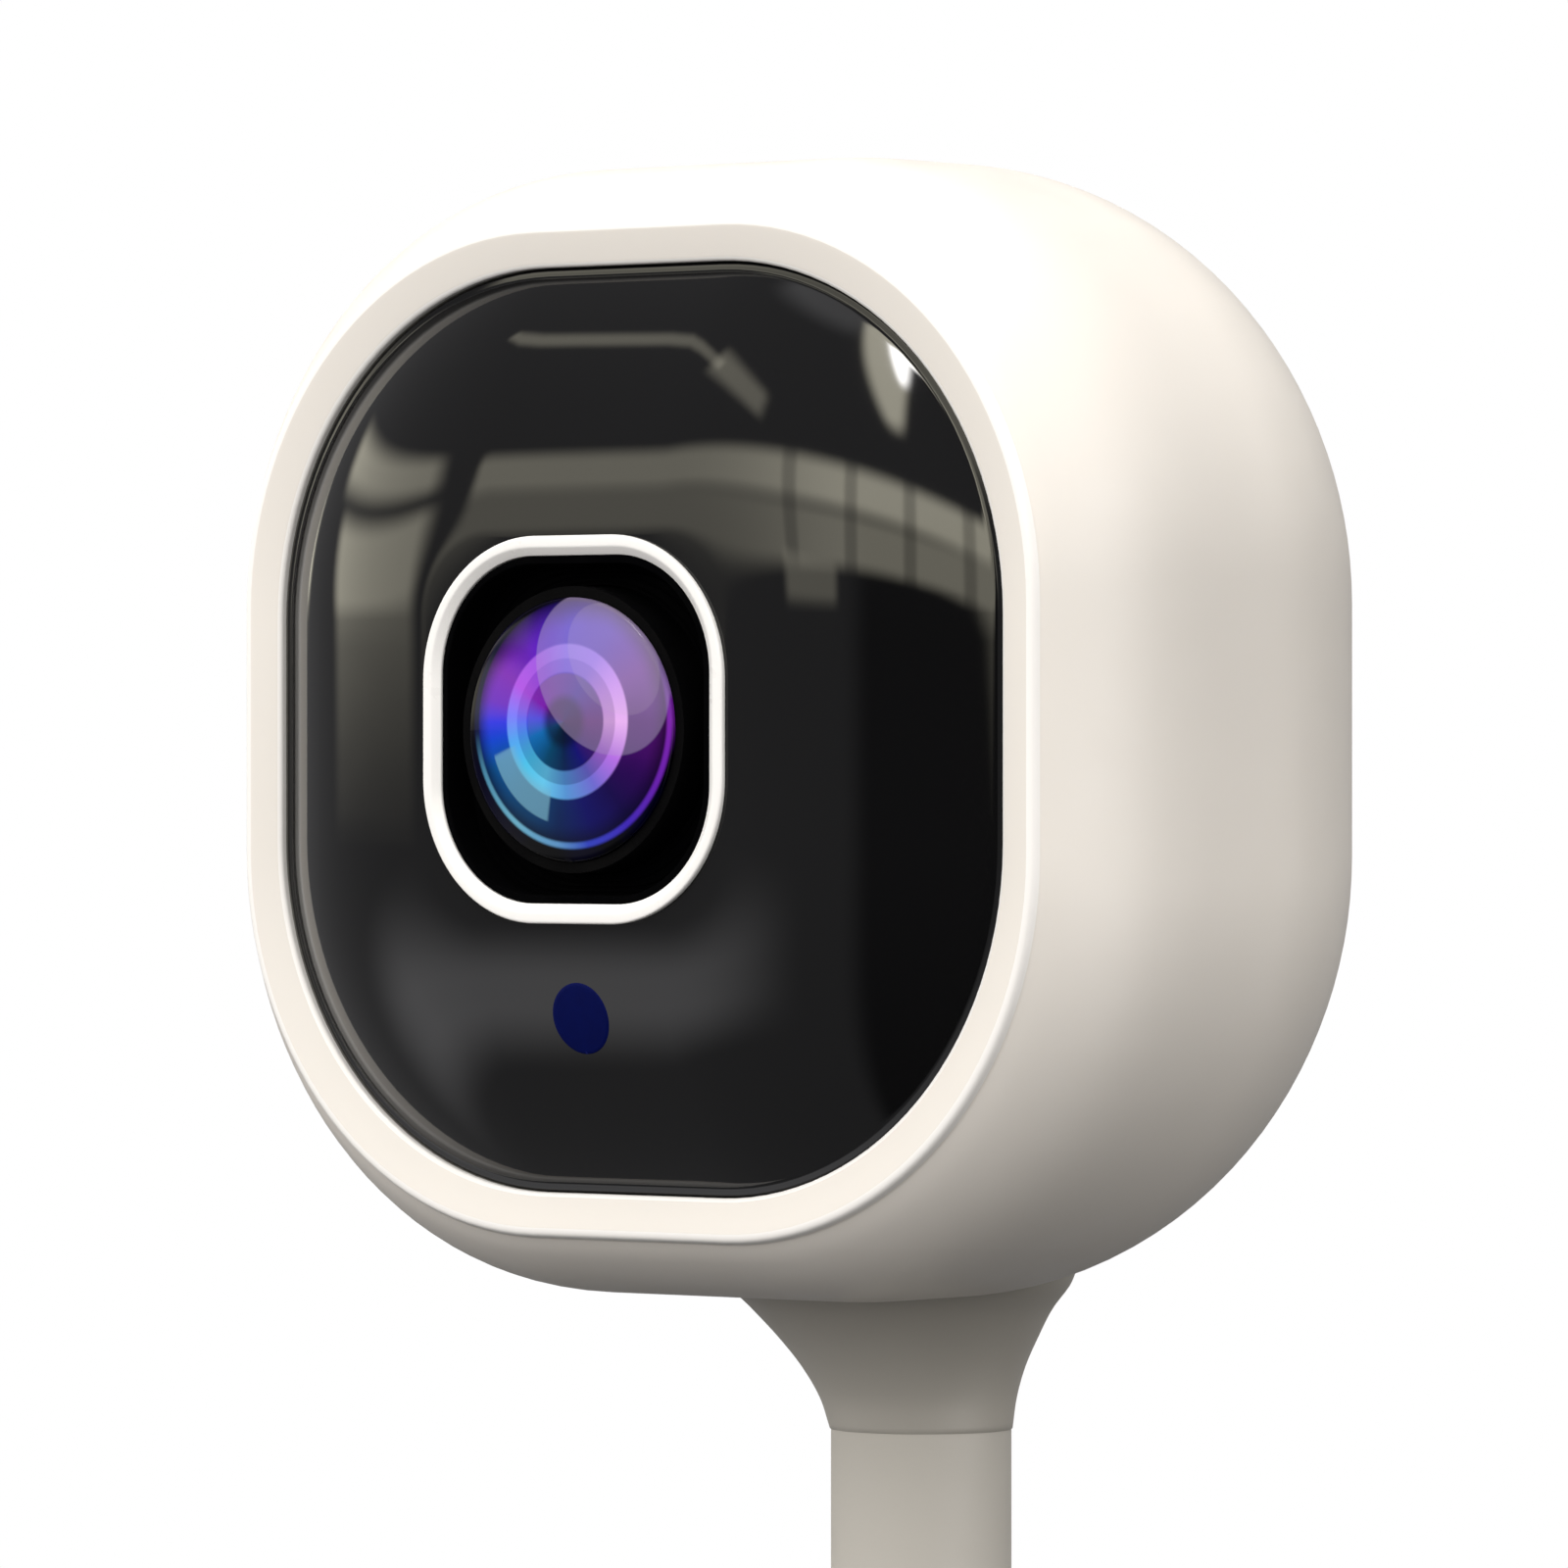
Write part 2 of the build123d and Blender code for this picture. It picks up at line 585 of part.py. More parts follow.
# Flare: an oval trumpet that widens upward and leans forward, cut to the housing's underside.
# Each row is how far below the head's centre, half width, half depth and forward shift.
flare_rows = (
    (FLARE_LENGTH, 4.66, 4.66, 0.0),
    (33.9, 5.05, 5.0, 0.25),
    (32.3, 5.75, 5.65, 0.65),
    (30.8, 6.72, 6.45, 1.1),
    (29.3, 7.9, 7.3, 1.65),
    (27.8, 9.4, 8.1, 2.05),
    (25.0, 10.4, 8.8, 2.4),
    (20.0, 10.8, 9.1, 2.4),
)
with BuildPart() as neck_flare:
    for drop, half_width, half_depth, forward in flare_rows:
        with BuildSketch(level_plane(drop)):
            with Locations((0, -forward)):
                Ellipse(half_width, half_depth)
    loft()
    add(outer_block, mode=Mode.SUBTRACT)
    with BuildSketch(level_plane(FLARE_LENGTH + 1)):
        Circle(SLEEVE_BORE)
    extrude(amount=12.5, mode=Mode.SUBTRACT)
save(neck_flare, "neck_flare")

end_gap = CORE_RADIUS * math.tan(math.radians(JOINT_BEND / 2)) + END_CLEARANCE / 2
sleeve_gap = SLEEVE_RADIUS * math.tan(math.radians(JOINT_BEND / 2)) + END_CLEARANCE / 2

stud_top = 18.2
with BuildPart() as neck_stud:
    with BuildSketch(Plane.XY.offset(joint_heights[-1] + end_gap)):
        Circle(CORE_RADIUS)
        Circle(CORE_BORE, mode=Mode.SUBTRACT)
    extrude(amount=HEAD_HEIGHT - stud_top - joint_heights[-1] - end_gap)
save(neck_stud, "neck_stud")

with BuildPart() as neck_nut:
    with BuildSketch(level_plane(neck_boss_top)):
        RegularPolygon(4.6, 6)
        Circle(CORE_RADIUS + 0.02, mode=Mode.SUBTRACT)
    extrude(amount=2.6)
save(neck_nut, "neck_nut")

# The head's end of the cable, from the last hose joint to the main board.
with BuildPart() as head_cable:
    with BuildLine() as cable_route:
        FilletPolyline(
            (0, 0, joint_heights[-1] + end_gap),
            (0, 0, HEAD_HEIGHT - 14.5),
            (0, board_back - HOSE_BACK + 1.6, HEAD_HEIGHT - 13.0),
            radius=2.2,
        )
    with BuildSketch(Plane.XY.offset(joint_heights[-1] + end_gap)):
        Circle(CABLE_RADIUS)
    sweep()
save(head_cable, "head_cable")

# ---------------------------------------------------------------- hose

for k in range(JOINT_COUNT - 1):
    low = joint_heights[k]
    high = joint_heights[k + 1]
    with BuildPart() as sleeve:
        with BuildSketch(Plane.XY.offset(low + sleeve_gap)):
            Circle(SLEEVE_RADIUS)
            Circle(SLEEVE_BORE, mode=Mode.SUBTRACT)
        extrude(amount=high - low - 2 * sleeve_gap)
    save(sleeve, f"hose_sleeve_{k + 1}")
    with BuildPart() as core:
        with BuildSketch(Plane.XY.offset(low + end_gap)):
            Circle(CORE_RADIUS)
            Circle(CORE_BORE, mode=Mode.SUBTRACT)
        extrude(amount=high - low - 2 * end_gap)
    save(core, f"gooseneck_core_{k + 1}")
    with BuildPart() as cable:
        with BuildSketch(Plane.XY.offset(low + end_gap)):
            Circle(CABLE_RADIUS)
        extrude(amount=high - low - 2 * end_gap)
    save(cable, f"cable_{k + 1}")

with BuildPart() as top_sleeve:
    with BuildSketch(Plane.XY.offset(joint_heights[-1] + sleeve_gap)):
        Circle(SLEEVE_RADIUS)
        Circle(SLEEVE_BORE, mode=Mode.SUBTRACT)
    extrude(amount=NECK_SEAM - joint_heights[-1] - sleeve_gap)
save(top_sleeve, "hose_sleeve_8")

# ---------------------------------------------------------------- plug

core_low = 12.0           # the lower end of the gooseneck is moulded into the plug from here up

with BuildPart() as plug_overmould:
    with BuildSketch():
        RectangleRounded(PLUG_WIDTH, PLUG_THICKNESS, 3)
    extrude(amount=PLUG_LENGTH)
    fillet(plug_overmould.edges().group_by(Axis.Z)[-1], 1.2)
    fillet(plug_overmould.edges().group_by(Axis.Z)[0], 0.4)
    with BuildSketch():
        RectangleRounded(USB_WIDTH, USB_THICKNESS, 0.5)
    extrude(amount=USB_INSIDE, mode=Mode.SUBTRACT)
    with BuildSketch(Plane.XY.offset(USB_INSIDE)):
        Circle(CABLE_RADIUS + 0.1)
    extrude(amount=core_low - USB_INSIDE, mode=Mode.SUBTRACT)
    with BuildSketch(Plane.XY.offset(core_low)):
        Circle(CORE_RADIUS + 0.05)
    extrude(amount=PLUG_LENGTH - core_low, mode=Mode.SUBTRACT)
save(plug_overmould, "plug_overmould")

# Strain relief: oval where it leaves the plug, round where it meets the hose.
# Each row is a height, the half width and the half thickness.
relief_rows = (
    (PLUG_LENGTH, 6.2, 3.8),
    (27.0, 5.5, 4.3),
    (30.0, 5.1, 4.6),
    (RELIEF_TOP, 4.8, 4.8),
)
with BuildPart() as strain_relief:
    for height, half_width, half_thickness in relief_rows:
        with BuildSketch(Plane.XY.offset(height)):
            Ellipse(half_width, half_thickness)
    loft()
    with BuildSketch(Plane.XY.offset(PLUG_LENGTH)):
        Circle(CORE_RADIUS + 0.05)
    extrude(amount=RELIEF_TOP - PLUG_LENGTH, mode=Mode.SUBTRACT)
save(strain_relief, "strain_relief")

with BuildPart() as plug_ferrule:
    with BuildSketch(Plane.XY.offset(core_low)):
        Circle(CORE_RADIUS)
        Circle(CORE_BORE, mode=Mode.SUBTRACT)
    extrude(amount=joint_heights[0] - end_gap - core_low)
save(plug_ferrule, "plug_ferrule")

with BuildPart() as plug_cable:
    with BuildSketch(Plane.XY.offset(USB_INSIDE)):
        Circle(CABLE_RADIUS)
    extrude(amount=joint_heights[0] - end_gap - USB_INSIDE)
save(plug_cable, "plug_cable")

with BuildPart() as plug_shell:
    with BuildSketch(Plane.XY.offset(-USB_LENGTH)):
        RectangleRounded(USB_WIDTH, USB_THICKNESS, 0.5)
        RectangleRounded(USB_WIDTH - 2 * USB_WALL, USB_THICKNESS - 2 * USB_WALL, 0.3, mode=Mode.SUBTRACT)
    extrude(amount=USB_LENGTH + USB_INSIDE)
    with BuildSketch(Plane.XZ.offset(USB_THICKNESS)):
        with Locations((-2.5, -4.6), (2.5, -4.6)):
            Rectangle(2.4, 2.2)
    extrude(amount=-2 * USB_THICKNESS, mode=Mode.SUBTRACT)
save(plug_shell, "plug_shell")

tongue_thickness = 1.84
tongue_y = USB_THICKNESS / 2 - USB_WALL - tongue_thickness / 2 - 0.05
with BuildPart() as plug_tongue:
    with BuildSketch(Plane.XY.offset(0.6 - USB_LENGTH)):
        with Locations((0, tongue_y)):
            RectangleRounded(USB_WIDTH - 2 * USB_WALL - 0.1, tongue_thickness, 0.35)
    extrude(amount=USB_LENGTH - 0.6)
    with BuildSketch():
        RectangleRounded(USB_WIDTH - 2 * USB_WALL - 0.1, USB_THICKNESS - 2 * USB_WALL - 0.1, 0.35)
    extrude(amount=USB_INSIDE)
save(plug_tongue, "plug_tongue")

contact_y = tongue_y - tongue_thickness / 2 - 0.15
with BuildPart() as plug_contacts:
    for x, length in ((-3.5, 9.0), (-1.0, 8.0), (1.0, 8.0), (3.5, 9.0)):
        with BuildSketch(Plane.XY.offset(-length - 1.2)):
            with Locations((x, contact_y)):
                Rectangle(1.0, 0.3)
        extrude(amount=length + 1.2)
save(plug_contacts, "plug_contacts")
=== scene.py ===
import json
import math

import bpy
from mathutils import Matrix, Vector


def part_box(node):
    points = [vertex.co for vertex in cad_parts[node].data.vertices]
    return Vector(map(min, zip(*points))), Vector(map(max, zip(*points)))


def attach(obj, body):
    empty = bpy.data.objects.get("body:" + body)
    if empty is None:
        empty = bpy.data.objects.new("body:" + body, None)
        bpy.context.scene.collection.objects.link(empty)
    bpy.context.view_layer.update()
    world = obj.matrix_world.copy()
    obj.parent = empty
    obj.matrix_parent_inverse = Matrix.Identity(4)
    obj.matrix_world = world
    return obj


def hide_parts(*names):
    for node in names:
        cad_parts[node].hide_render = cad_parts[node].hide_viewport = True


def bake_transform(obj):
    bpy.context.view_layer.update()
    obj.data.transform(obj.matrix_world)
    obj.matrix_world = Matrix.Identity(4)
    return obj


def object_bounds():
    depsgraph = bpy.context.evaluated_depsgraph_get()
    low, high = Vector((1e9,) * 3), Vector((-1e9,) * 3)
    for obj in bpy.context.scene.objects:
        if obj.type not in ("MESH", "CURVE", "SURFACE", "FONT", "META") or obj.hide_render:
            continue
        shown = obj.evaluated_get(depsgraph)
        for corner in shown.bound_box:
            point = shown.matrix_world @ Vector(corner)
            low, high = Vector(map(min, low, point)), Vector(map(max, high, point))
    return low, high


# Looks of the gooseneck security camera. Shapes below are in millimetres in the part's frame and
# are written to the meshes in metres. "Depth" is measured back from the window's edge.

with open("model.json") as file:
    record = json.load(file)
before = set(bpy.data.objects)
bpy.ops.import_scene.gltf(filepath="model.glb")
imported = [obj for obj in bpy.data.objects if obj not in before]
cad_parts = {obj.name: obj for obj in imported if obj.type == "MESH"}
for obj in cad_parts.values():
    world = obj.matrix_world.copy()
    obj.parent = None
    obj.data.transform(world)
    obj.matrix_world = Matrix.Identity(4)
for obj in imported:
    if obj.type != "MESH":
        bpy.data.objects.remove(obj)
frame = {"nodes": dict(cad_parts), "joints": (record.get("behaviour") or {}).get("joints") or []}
cad_low, cad_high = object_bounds()

MM = 0.001

# ---------------------------------------------------------------- places taken from the frame

housing_low, housing_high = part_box("front_housing")
HEAD_Z = (housing_low.z + housing_high.z) / 2 / MM
LIP_FRONT = 0.4                         # the bezel stands this far in front of the window edge
FACE_Y = housing_low.y / MM + LIP_FRONT
SEAM_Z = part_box("neck_flare")[0].z / MM
RELIEF_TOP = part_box("strain_relief")[1].z / MM

# ---------------------------------------------------------------- camera

CAMERA_OFFSET = (305.5, -372.0, -2.15)  # from the middle of the window's edge plane
CAMERA_TURN = 38.5                      # degrees round the object from straight ahead
CAMERA_PITCH = -0.06
camera_data = bpy.data.cameras.new("photo_camera")
camera_data.lens = 225
camera_data.sensor_width = 36
camera_data.clip_start = 0.01
camera_data.clip_end = 50
camera = bpy.data.objects.new("photo_camera", camera_data)
bpy.context.scene.collection.objects.link(camera)
camera.location = (
    CAMERA_OFFSET[0] * MM,
    (CAMERA_OFFSET[1] + FACE_Y) * MM,
    (CAMERA_OFFSET[2] + HEAD_Z) * MM,
)
camera.rotation_euler = (math.radians(90 + CAMERA_PITCH), 0, math.radians(CAMERA_TURN))
bpy.context.scene.camera = camera
bpy.context.scene.view_settings.view_transform = "Standard"

# ---------------------------------------------------------------- node helpers


class Nodes:
    """A short way to wire up one material or world."""

    def __init__(self, tree):
        self.tree = tree
        tree.nodes.clear()

    def add(self, kind, **settings):
        node = self.tree.nodes.new(kind)
        for key, value in settings.items():
            setattr(node, key, value)
        return node

    def link(self, output, target):
        self.tree.links.new(output, target)

    def feed(self, socket, value):
        if isinstance(value, bpy.types.NodeSocket):
            self.link(value, socket)
        else:
            socket.default_value = value

    def maths(self, operation, first, second=0.0, third=0.0):
        node = self.add("ShaderNodeMath", operation=operation)
        for socket, value in zip(node.inputs, (first, second, third)):
            self.feed(socket, value)
        return node.outputs[0]

    def between(self, value, low, high, start=0.0, end=1.0):
        """Smooth step of value from low to high, giving start to end."""
        node = self.add("ShaderNodeMapRange", interpolation_type="SMOOTHSTEP")
        self.feed(node.inputs["Value"], value)
        self.feed(node.inputs["From Min"], low)
        self.feed(node.inputs["From Max"], high)
        self.feed(node.inputs["To Min"], start)
        self.feed(node.inputs["To Max"], end)
        return node.outputs["Result"]

    def mix(self, share, first, second):
        node = self.add("ShaderNodeMix", data_type="RGBA", blend_type="MIX")
        self.feed(node.inputs[0], share)
        self.feed(node.inputs[6], first)
        self.feed(node.inputs[7], second)
        return node.outputs[2]

    def ramp(self, value, stops):
        """Colour ramp through (place, colour) stops."""
        node = self.add("ShaderNodeValToRGB")
        elements = node.color_ramp.elements
        while len(elements) > 1:
            elements.remove(elements[-1])
        elements[0].position, elements[0].color = stops[0]
        for place, colour in stops[1:]:
            elements.new(place).color = colour
        self.feed(node.inputs[0], value)
        return node.outputs[0]

    def noise(self, vector, scale, detail=3.0):
        node = self.add("ShaderNodeTexNoise")
        self.link(vector, node.inputs["Vector"])
        node.inputs["Scale"].default_value = scale
        node.inputs["Detail"].default_value = detail
        return node.outputs["Fac"]

    def place(self):
        return self.add("ShaderNodeTexCoord").outputs["Object"]


def tint(red, green, blue):
    """Linear colour from screen values of 0 to 255."""
    channels = []
    for value in (red, green, blue):
        share = value / 255
        channels.append(share / 12.92 if share <= 0.04045 else ((share + 0.055) / 1.055) ** 2.4)
    return (*channels, 1.0)


def scaled(colour, factor):
    return (*(min(1.0, c * factor) for c in colour[:3]), 1.0)


def new_material(name):
    material = bpy.data.materials.new(name)
    material.use_nodes = True
    nodes = Nodes(material.node_tree)
    output = nodes.add("ShaderNodeOutputMaterial")
    shader = nodes.add("ShaderNodeBsdfPrincipled")
    nodes.link(shader.outputs[0], output.inputs["Surface"])
    return material, nodes, shader


def bumped(nodes, shader, height, strength, distance):
    bump = nodes.add("ShaderNodeBump")
    bump.inputs["Strength"].default_value = strength
    bump.inputs["Distance"].default_value = distance
    nodes.link(height, bump.inputs["Height"])
    nodes.link(bump.outputs[0], shader.inputs["Normal"])


# ---------------------------------------------------------------- materials

GRAIN_SCALE = 2600.0    # spark-eroded mould texture, about 0.4 mm across
CLOUD_SCALE = 45.0      # slow colour drift in the plastic


def moulded(name, colour, roughness, grain=0.06, drift=0.03, specular=0.5, subsurface=0.0, sheen=0.0):
    """Moulded plastic: slow colour drift, uneven gloss and a fine mould texture."""
    material, nodes, shader = new_material(name)
    place = nodes.place()
    cloud = nodes.noise(place, CLOUD_SCALE)
    fine = nodes.noise(place, GRAIN_SCALE, 2.0)
    wear = nodes.noise(place, 9 * CLOUD_SCALE, 4.0)
    shade = nodes.mix(cloud, scaled(colour, 1 - drift), scaled(colour, 1 + drift))
    nodes.link(shade, shader.inputs["Base Color"])
    gloss = nodes.between(wear, 0.3, 0.7, roughness * 0.9, roughness * 1.12)
    nodes.link(gloss, shader.inputs["Roughness"])
    bumped(nodes, shader, fine, grain, 0.00008)
    shader.inputs["Specular IOR Level"].default_value = specular
    shader.inputs["Sheen Weight"].default_value = sheen
    if subsurface:
        shader.inputs["Subsurface Weight"].default_value = subsurface
        shader.inputs["Subsurface Radius"].default_value = (0.002, 0.0018, 0.0015)
        shader.inputs["Subsurface Scale"].default_value = 0.4
    return material


def metal(name, colour, roughness, brush=0.25):
    """Bare metal with fine drawn lines up it and a few duller patches."""
    material, nodes, shader = new_material(name)
    place = nodes.place()
    stretch = nodes.add("ShaderNodeMapping")
    stretch.inputs["Scale"].default_value = (1.0, 1.0, 0.04)
    nodes.link(place, stretch.inputs["Vector"])
    lines = nodes.noise(stretch.outputs[0], 4200.0, 3.0)
    dull = nodes.noise(place, 260.0, 4.0)
    shade = nodes.mix(dull, scaled(colour, 0.82), colour)
    nodes.link(shade, shader.inputs["Base Color"])
    gloss = nodes.between(dull, 0.25, 0.75, roughness * 0.8, roughness * 1.35)
    nodes.link(gloss, shader.inputs["Roughness"])
    bumped(nodes, shader, lines, brush, 0.00002)
    shader.inputs["Metallic"].default_value = 1.0
    return material


def glossy_black(name, colour, roughness):
    """Polished acrylic: near black, a hard clear coat and a trace of ripple."""
    material, nodes, shader = new_material(name)
    place = nodes.place()
    ripple = nodes.noise(place, 130.0, 2.0)
    smear = nodes.noise(place, 60.0, 5.0)
    nodes.link(nodes.mix(smear, scaled(colour, 0.9), scaled(colour, 1.1)), shader.inputs["Base Color"])
    nodes.link(nodes.between(smear, 0.35, 0.75, roughness, roughness * 1.8), shader.inputs["Roughness"])
    bumped(nodes, shader, ripple, 0.015, 0.0002)
    shader.inputs["IOR"].default_value = 1.49
    return material


def circuit_board(name):
    """Green lacquer over copper: straight tracks show as a slightly lighter weave."""
    material, nodes, shader = new_material(name)
    place = nodes.place()
    tracks = nodes.add("ShaderNodeTexBrick")
    nodes.link(place, tracks.inputs["Vector"])
    tracks.inputs["Scale"].default_value = 420.0
    tracks.inputs["Color1"].default_value = tint(20, 84, 58)
    tracks.inputs["Color2"].default_value = tint(26, 96, 66)
    tracks.inputs["Mortar"].default_value = tint(60, 130, 84)
    tracks.inputs["Mortar Size"].default_value = 0.03
    dust = nodes.noise(place, 900.0)
    nodes.link(nodes.mix(nodes.between(dust, 0.4, 0.9, 0.0, 0.35), tracks.outputs[0], tint(16, 60, 44)),
               shader.inputs["Base Color"])
    shader.inputs["Roughness"].default_value = 0.32
    bumped(nodes, shader, tracks.outputs["Fac"], 0.2, 0.00004)
    return material


def cut_glass(name, colour):
    """Tinted optical glass with a faint coating stain."""
    material, nodes, shader = new_material(name)
    stain = nodes.noise(nodes.place(), 300.0)
    nodes.link(nodes.mix(stain, scaled(colour, 0.85), colour), shader.inputs["Base Color"])
    shader.inputs["Roughness"].default_value = 0.04
    shader.inputs["Transmission Weight"].default_value = 0.7
    shader.inputs["IOR"].default_value = 1.52
    shader.inputs["Coat Weight"].default_value = 1.0
    return material


housing_white = moulded("housing_white", tint(238, 233, 225), 0.42, 0.05, 0.012, subsurface=0.05)
# Paler white painted on the bezel's and the window's edges: painted highlight.
edge_highlight_white = moulded("edge_highlight_white", tint(252, 250, 246), 0.34, 0.03, 0.008)
rim_white = moulded("rim_white", tint(250, 249, 246), 0.3, 0.03, 0.008)
# The flare's white is darkened to stand in for the shade under the head: painted shade.
neck_white = moulded("neck_white", tint(190, 186, 177), 0.46, 0.06, 0.015)
# The hose's rubber is a greyer white, also darkened for the shade below the head: partly its own colour,
# partly painted shade.
hose_rubber = moulded("hose_rubber", tint(203, 199, 190), 0.55, 0.1, 0.02, sheen=0.05)
plug_white = moulded("plug_white", tint(232, 229, 221), 0.5, 0.1, 0.018)
panel_black = glossy_black("panel_black", tint(13, 13, 14), 0.035)
baffle_black = moulded("baffle_black", tint(1, 1, 2), 0.9, 0.25, 0.3, 0.03)
barrel_black = moulded("barrel_black", tint(2, 2, 3), 0.7, 0.2, 0.3, 0.05)
# Grey on the window's recess wall in place of the white plastic's shadow: painted shade.
wall_shade_grey = moulded("wall_shade_grey", tint(150, 147, 140), 0.7, 0.1, 0.05, 0.2)
# Dark piece between the flare and the head in place of the contact shadow: painted shade.
shadow_filler_black = moulded("shadow_filler_black", tint(52, 50, 46), 0.8, 0.15, 0.1)
coil_plastic = moulded("coil_plastic", tint(176, 92, 40), 0.45, 0.1, 0.08)
chip_black = moulded("chip_black", tint(34, 35, 38), 0.5, 0.2, 0.08)
filter_black = moulded("filter_black", tint(22, 22, 24), 0.6, 0.1, 0.05)
button_grey = moulded("button_grey", tint(150, 150, 148), 0.45, 0.08, 0.03)
tongue_white = moulded("tongue_white", tint(236, 236, 232), 0.4, 0.05, 0.02)
cable_jacket = moulded("cable_jacket", tint(206, 204, 198), 0.5, 0.08, 0.03)
heat_alloy = metal("heat_alloy", tint(190, 192, 196), 0.4)
tinned_steel = metal("tinned_steel", tint(196, 198, 200), 0.3)
plug_steel = metal("plug_steel", tint(190, 191, 194), 0.34, brush=0.1)
contact_gold = metal("contact_gold", tint(240, 200, 112), 0.2)
led_resin = cut_glass("led_resin", tint(90, 74, 96))
filter_glass = cut_glass("filter_glass", tint(120, 196, 200))
board_green = circuit_board("board_green")


def around(nodes, angle_share, stops):
    """Colour by clock angle: stops are (degrees anticlockwise from the right, red, green, blue)."""
    first = stops[0]
    closed = list(stops) + [(360, *first[1:])]
    return nodes.ramp(angle_share, [(degrees / 360, tint(*rgb)) for degrees, *rgb in closed])


def coated_lens(radius, centre_z):
    """Multi-coated glass: the coating's colours run round the lens, crossed by rings, with painted
    reflections of lamps on it.
    """
    material, nodes, shader = new_material("lens_glass")
    split = nodes.add("ShaderNodeSeparateXYZ")
    nodes.link(nodes.place(), split.inputs[0])
    across = nodes.maths("SUBTRACT", nodes.maths("DIVIDE", split.outputs["X"], radius), 0.04)
    up = nodes.maths("DIVIDE", nodes.maths("SUBTRACT", split.outputs["Z"], centre_z), radius)
    up = nodes.maths("SUBTRACT", up, 0.06)
    span = nodes.maths("SQRT", nodes.maths("ADD", nodes.maths("POWER", across, 2.0),
                                           nodes.maths("POWER", up, 2.0)))
    angle = nodes.maths("DIVIDE", nodes.maths("ARCTAN2", up, across), 2 * math.pi)
    angle = nodes.maths("FRACT", nodes.maths("ADD", angle, 1.0))

    outer = around(nodes, angle, (
        (0, 78, 14, 108), (30, 104, 40, 150), (60, 72, 44, 176), (90, 56, 36, 188), (120, 92, 30, 184),
        (150, 118, 34, 172), (168, 104, 38, 186), (180, 44, 50, 222), (190, 20, 68, 206), (205, 8, 84, 150),
        (235, 8, 72, 118), (262, 6, 40, 92), (285, 14, 12, 104), (308, 22, 4, 76), (335, 54, 8, 92),
    ))
    ring = around(nodes, angle, (
        (0, 244, 184, 255), (30, 208, 150, 250), (60, 150, 118, 234), (90, 132, 110, 224),
        (120, 152, 88, 216), (150, 168, 78, 220), (175, 118, 120, 246), (195, 84, 164, 242),
        (220, 78, 196, 238), (245, 104, 204, 244), (270, 88, 152, 220), (300, 112, 108, 214),
        (330, 182, 112, 232),
    ))
    inner = around(nodes, angle, (
        (0, 90, 30, 110), (60, 70, 56, 150), (120, 104, 44, 150), (150, 116, 26, 166),
        (175, 78, 76, 214), (200, 16, 104, 176), (240, 4, 66, 102), (270, 6, 34, 78),
        (300, 18, 16, 112), (330, 62, 22, 100),
    ))
    rim_arc = around(nodes, angle, (
        (0, 124, 36, 172), (25, 60, 20, 100), (60, 14, 6, 40), (120, 2, 1, 8), (185, 10, 20, 60),
        (205, 74, 136, 168), (235, 110, 180, 208), (262, 98, 156, 210), (280, 54, 70, 200),
        (305, 66, 42, 190), (330, 104, 34, 176),
    ))

    shaded = nodes.maths("MULTIPLY", nodes.between(angle, 62 / 360, 110 / 360),
                         nodes.between(angle, 125 / 360, 165 / 360, 1.0, 0.0))
    fade_start = nodes.maths("MULTIPLY_ADD", shaded, -0.12, 0.76)
    base = nodes.mix(nodes.between(span, fade_start, 0.99, 1.0, 0.0), tint(0, 0, 2), outer)
    swirl = nodes.noise(nodes.place(), 260.0, 2.0)
    base = nodes.mix(nodes.between(swirl, 0.4, 0.75, 0.0, 0.3), base, tint(6, 2, 60))
    in_ring = nodes.maths("MULTIPLY", nodes.between(span, 0.36, 0.385),
                          nodes.between(span, 0.575, 0.6, 1.0, 0.0))
    inner_step = nodes.between(span, 0.47, 0.485, 0.6, 1.0)
    base = nodes.mix(nodes.maths("MULTIPLY", in_ring, inner_step), base, ring)
    in_eye = nodes.between(span, 0.355, 0.375, 1.0, 0.0)
    base = nodes.mix(in_eye, base, inner)
    pupil = nodes.between(span, 0.14, 0.24, 1.0, 0.0)
    base = nodes.mix(nodes.maths("MULTIPLY", pupil, 0.75), base, tint(6, 14, 36))
    arc_mask = nodes.maths("MULTIPLY", nodes.between(span, 0.9, 0.93),
                           nodes.between(span, 0.945, 0.975, 1.0, 0.0))
    base = nodes.mix(arc_mask, base, rim_arc)

    def lamp_reflection_spot(centre_x, centre_up, long, short):
        """A painted oval reflection of a lamp on the lens, its long axis running down to the right."""
        dx = nodes.maths("SUBTRACT", across, centre_x)
        dz = nodes.maths("SUBTRACT", up, centre_up)
        along = nodes.maths("DIVIDE", nodes.maths("SUBTRACT", dx, dz), long * math.sqrt(2))
        beside = nodes.maths("DIVIDE", nodes.maths("ADD", dx, dz), short * math.sqrt(2))
        away = nodes.maths("SQRT", nodes.maths("ADD", nodes.maths("POWER", along, 2.0),
                                               nodes.maths("POWER", beside, 2.0)))
        return nodes.between(away, 0.985, 1.015, 1.0, 0.0)

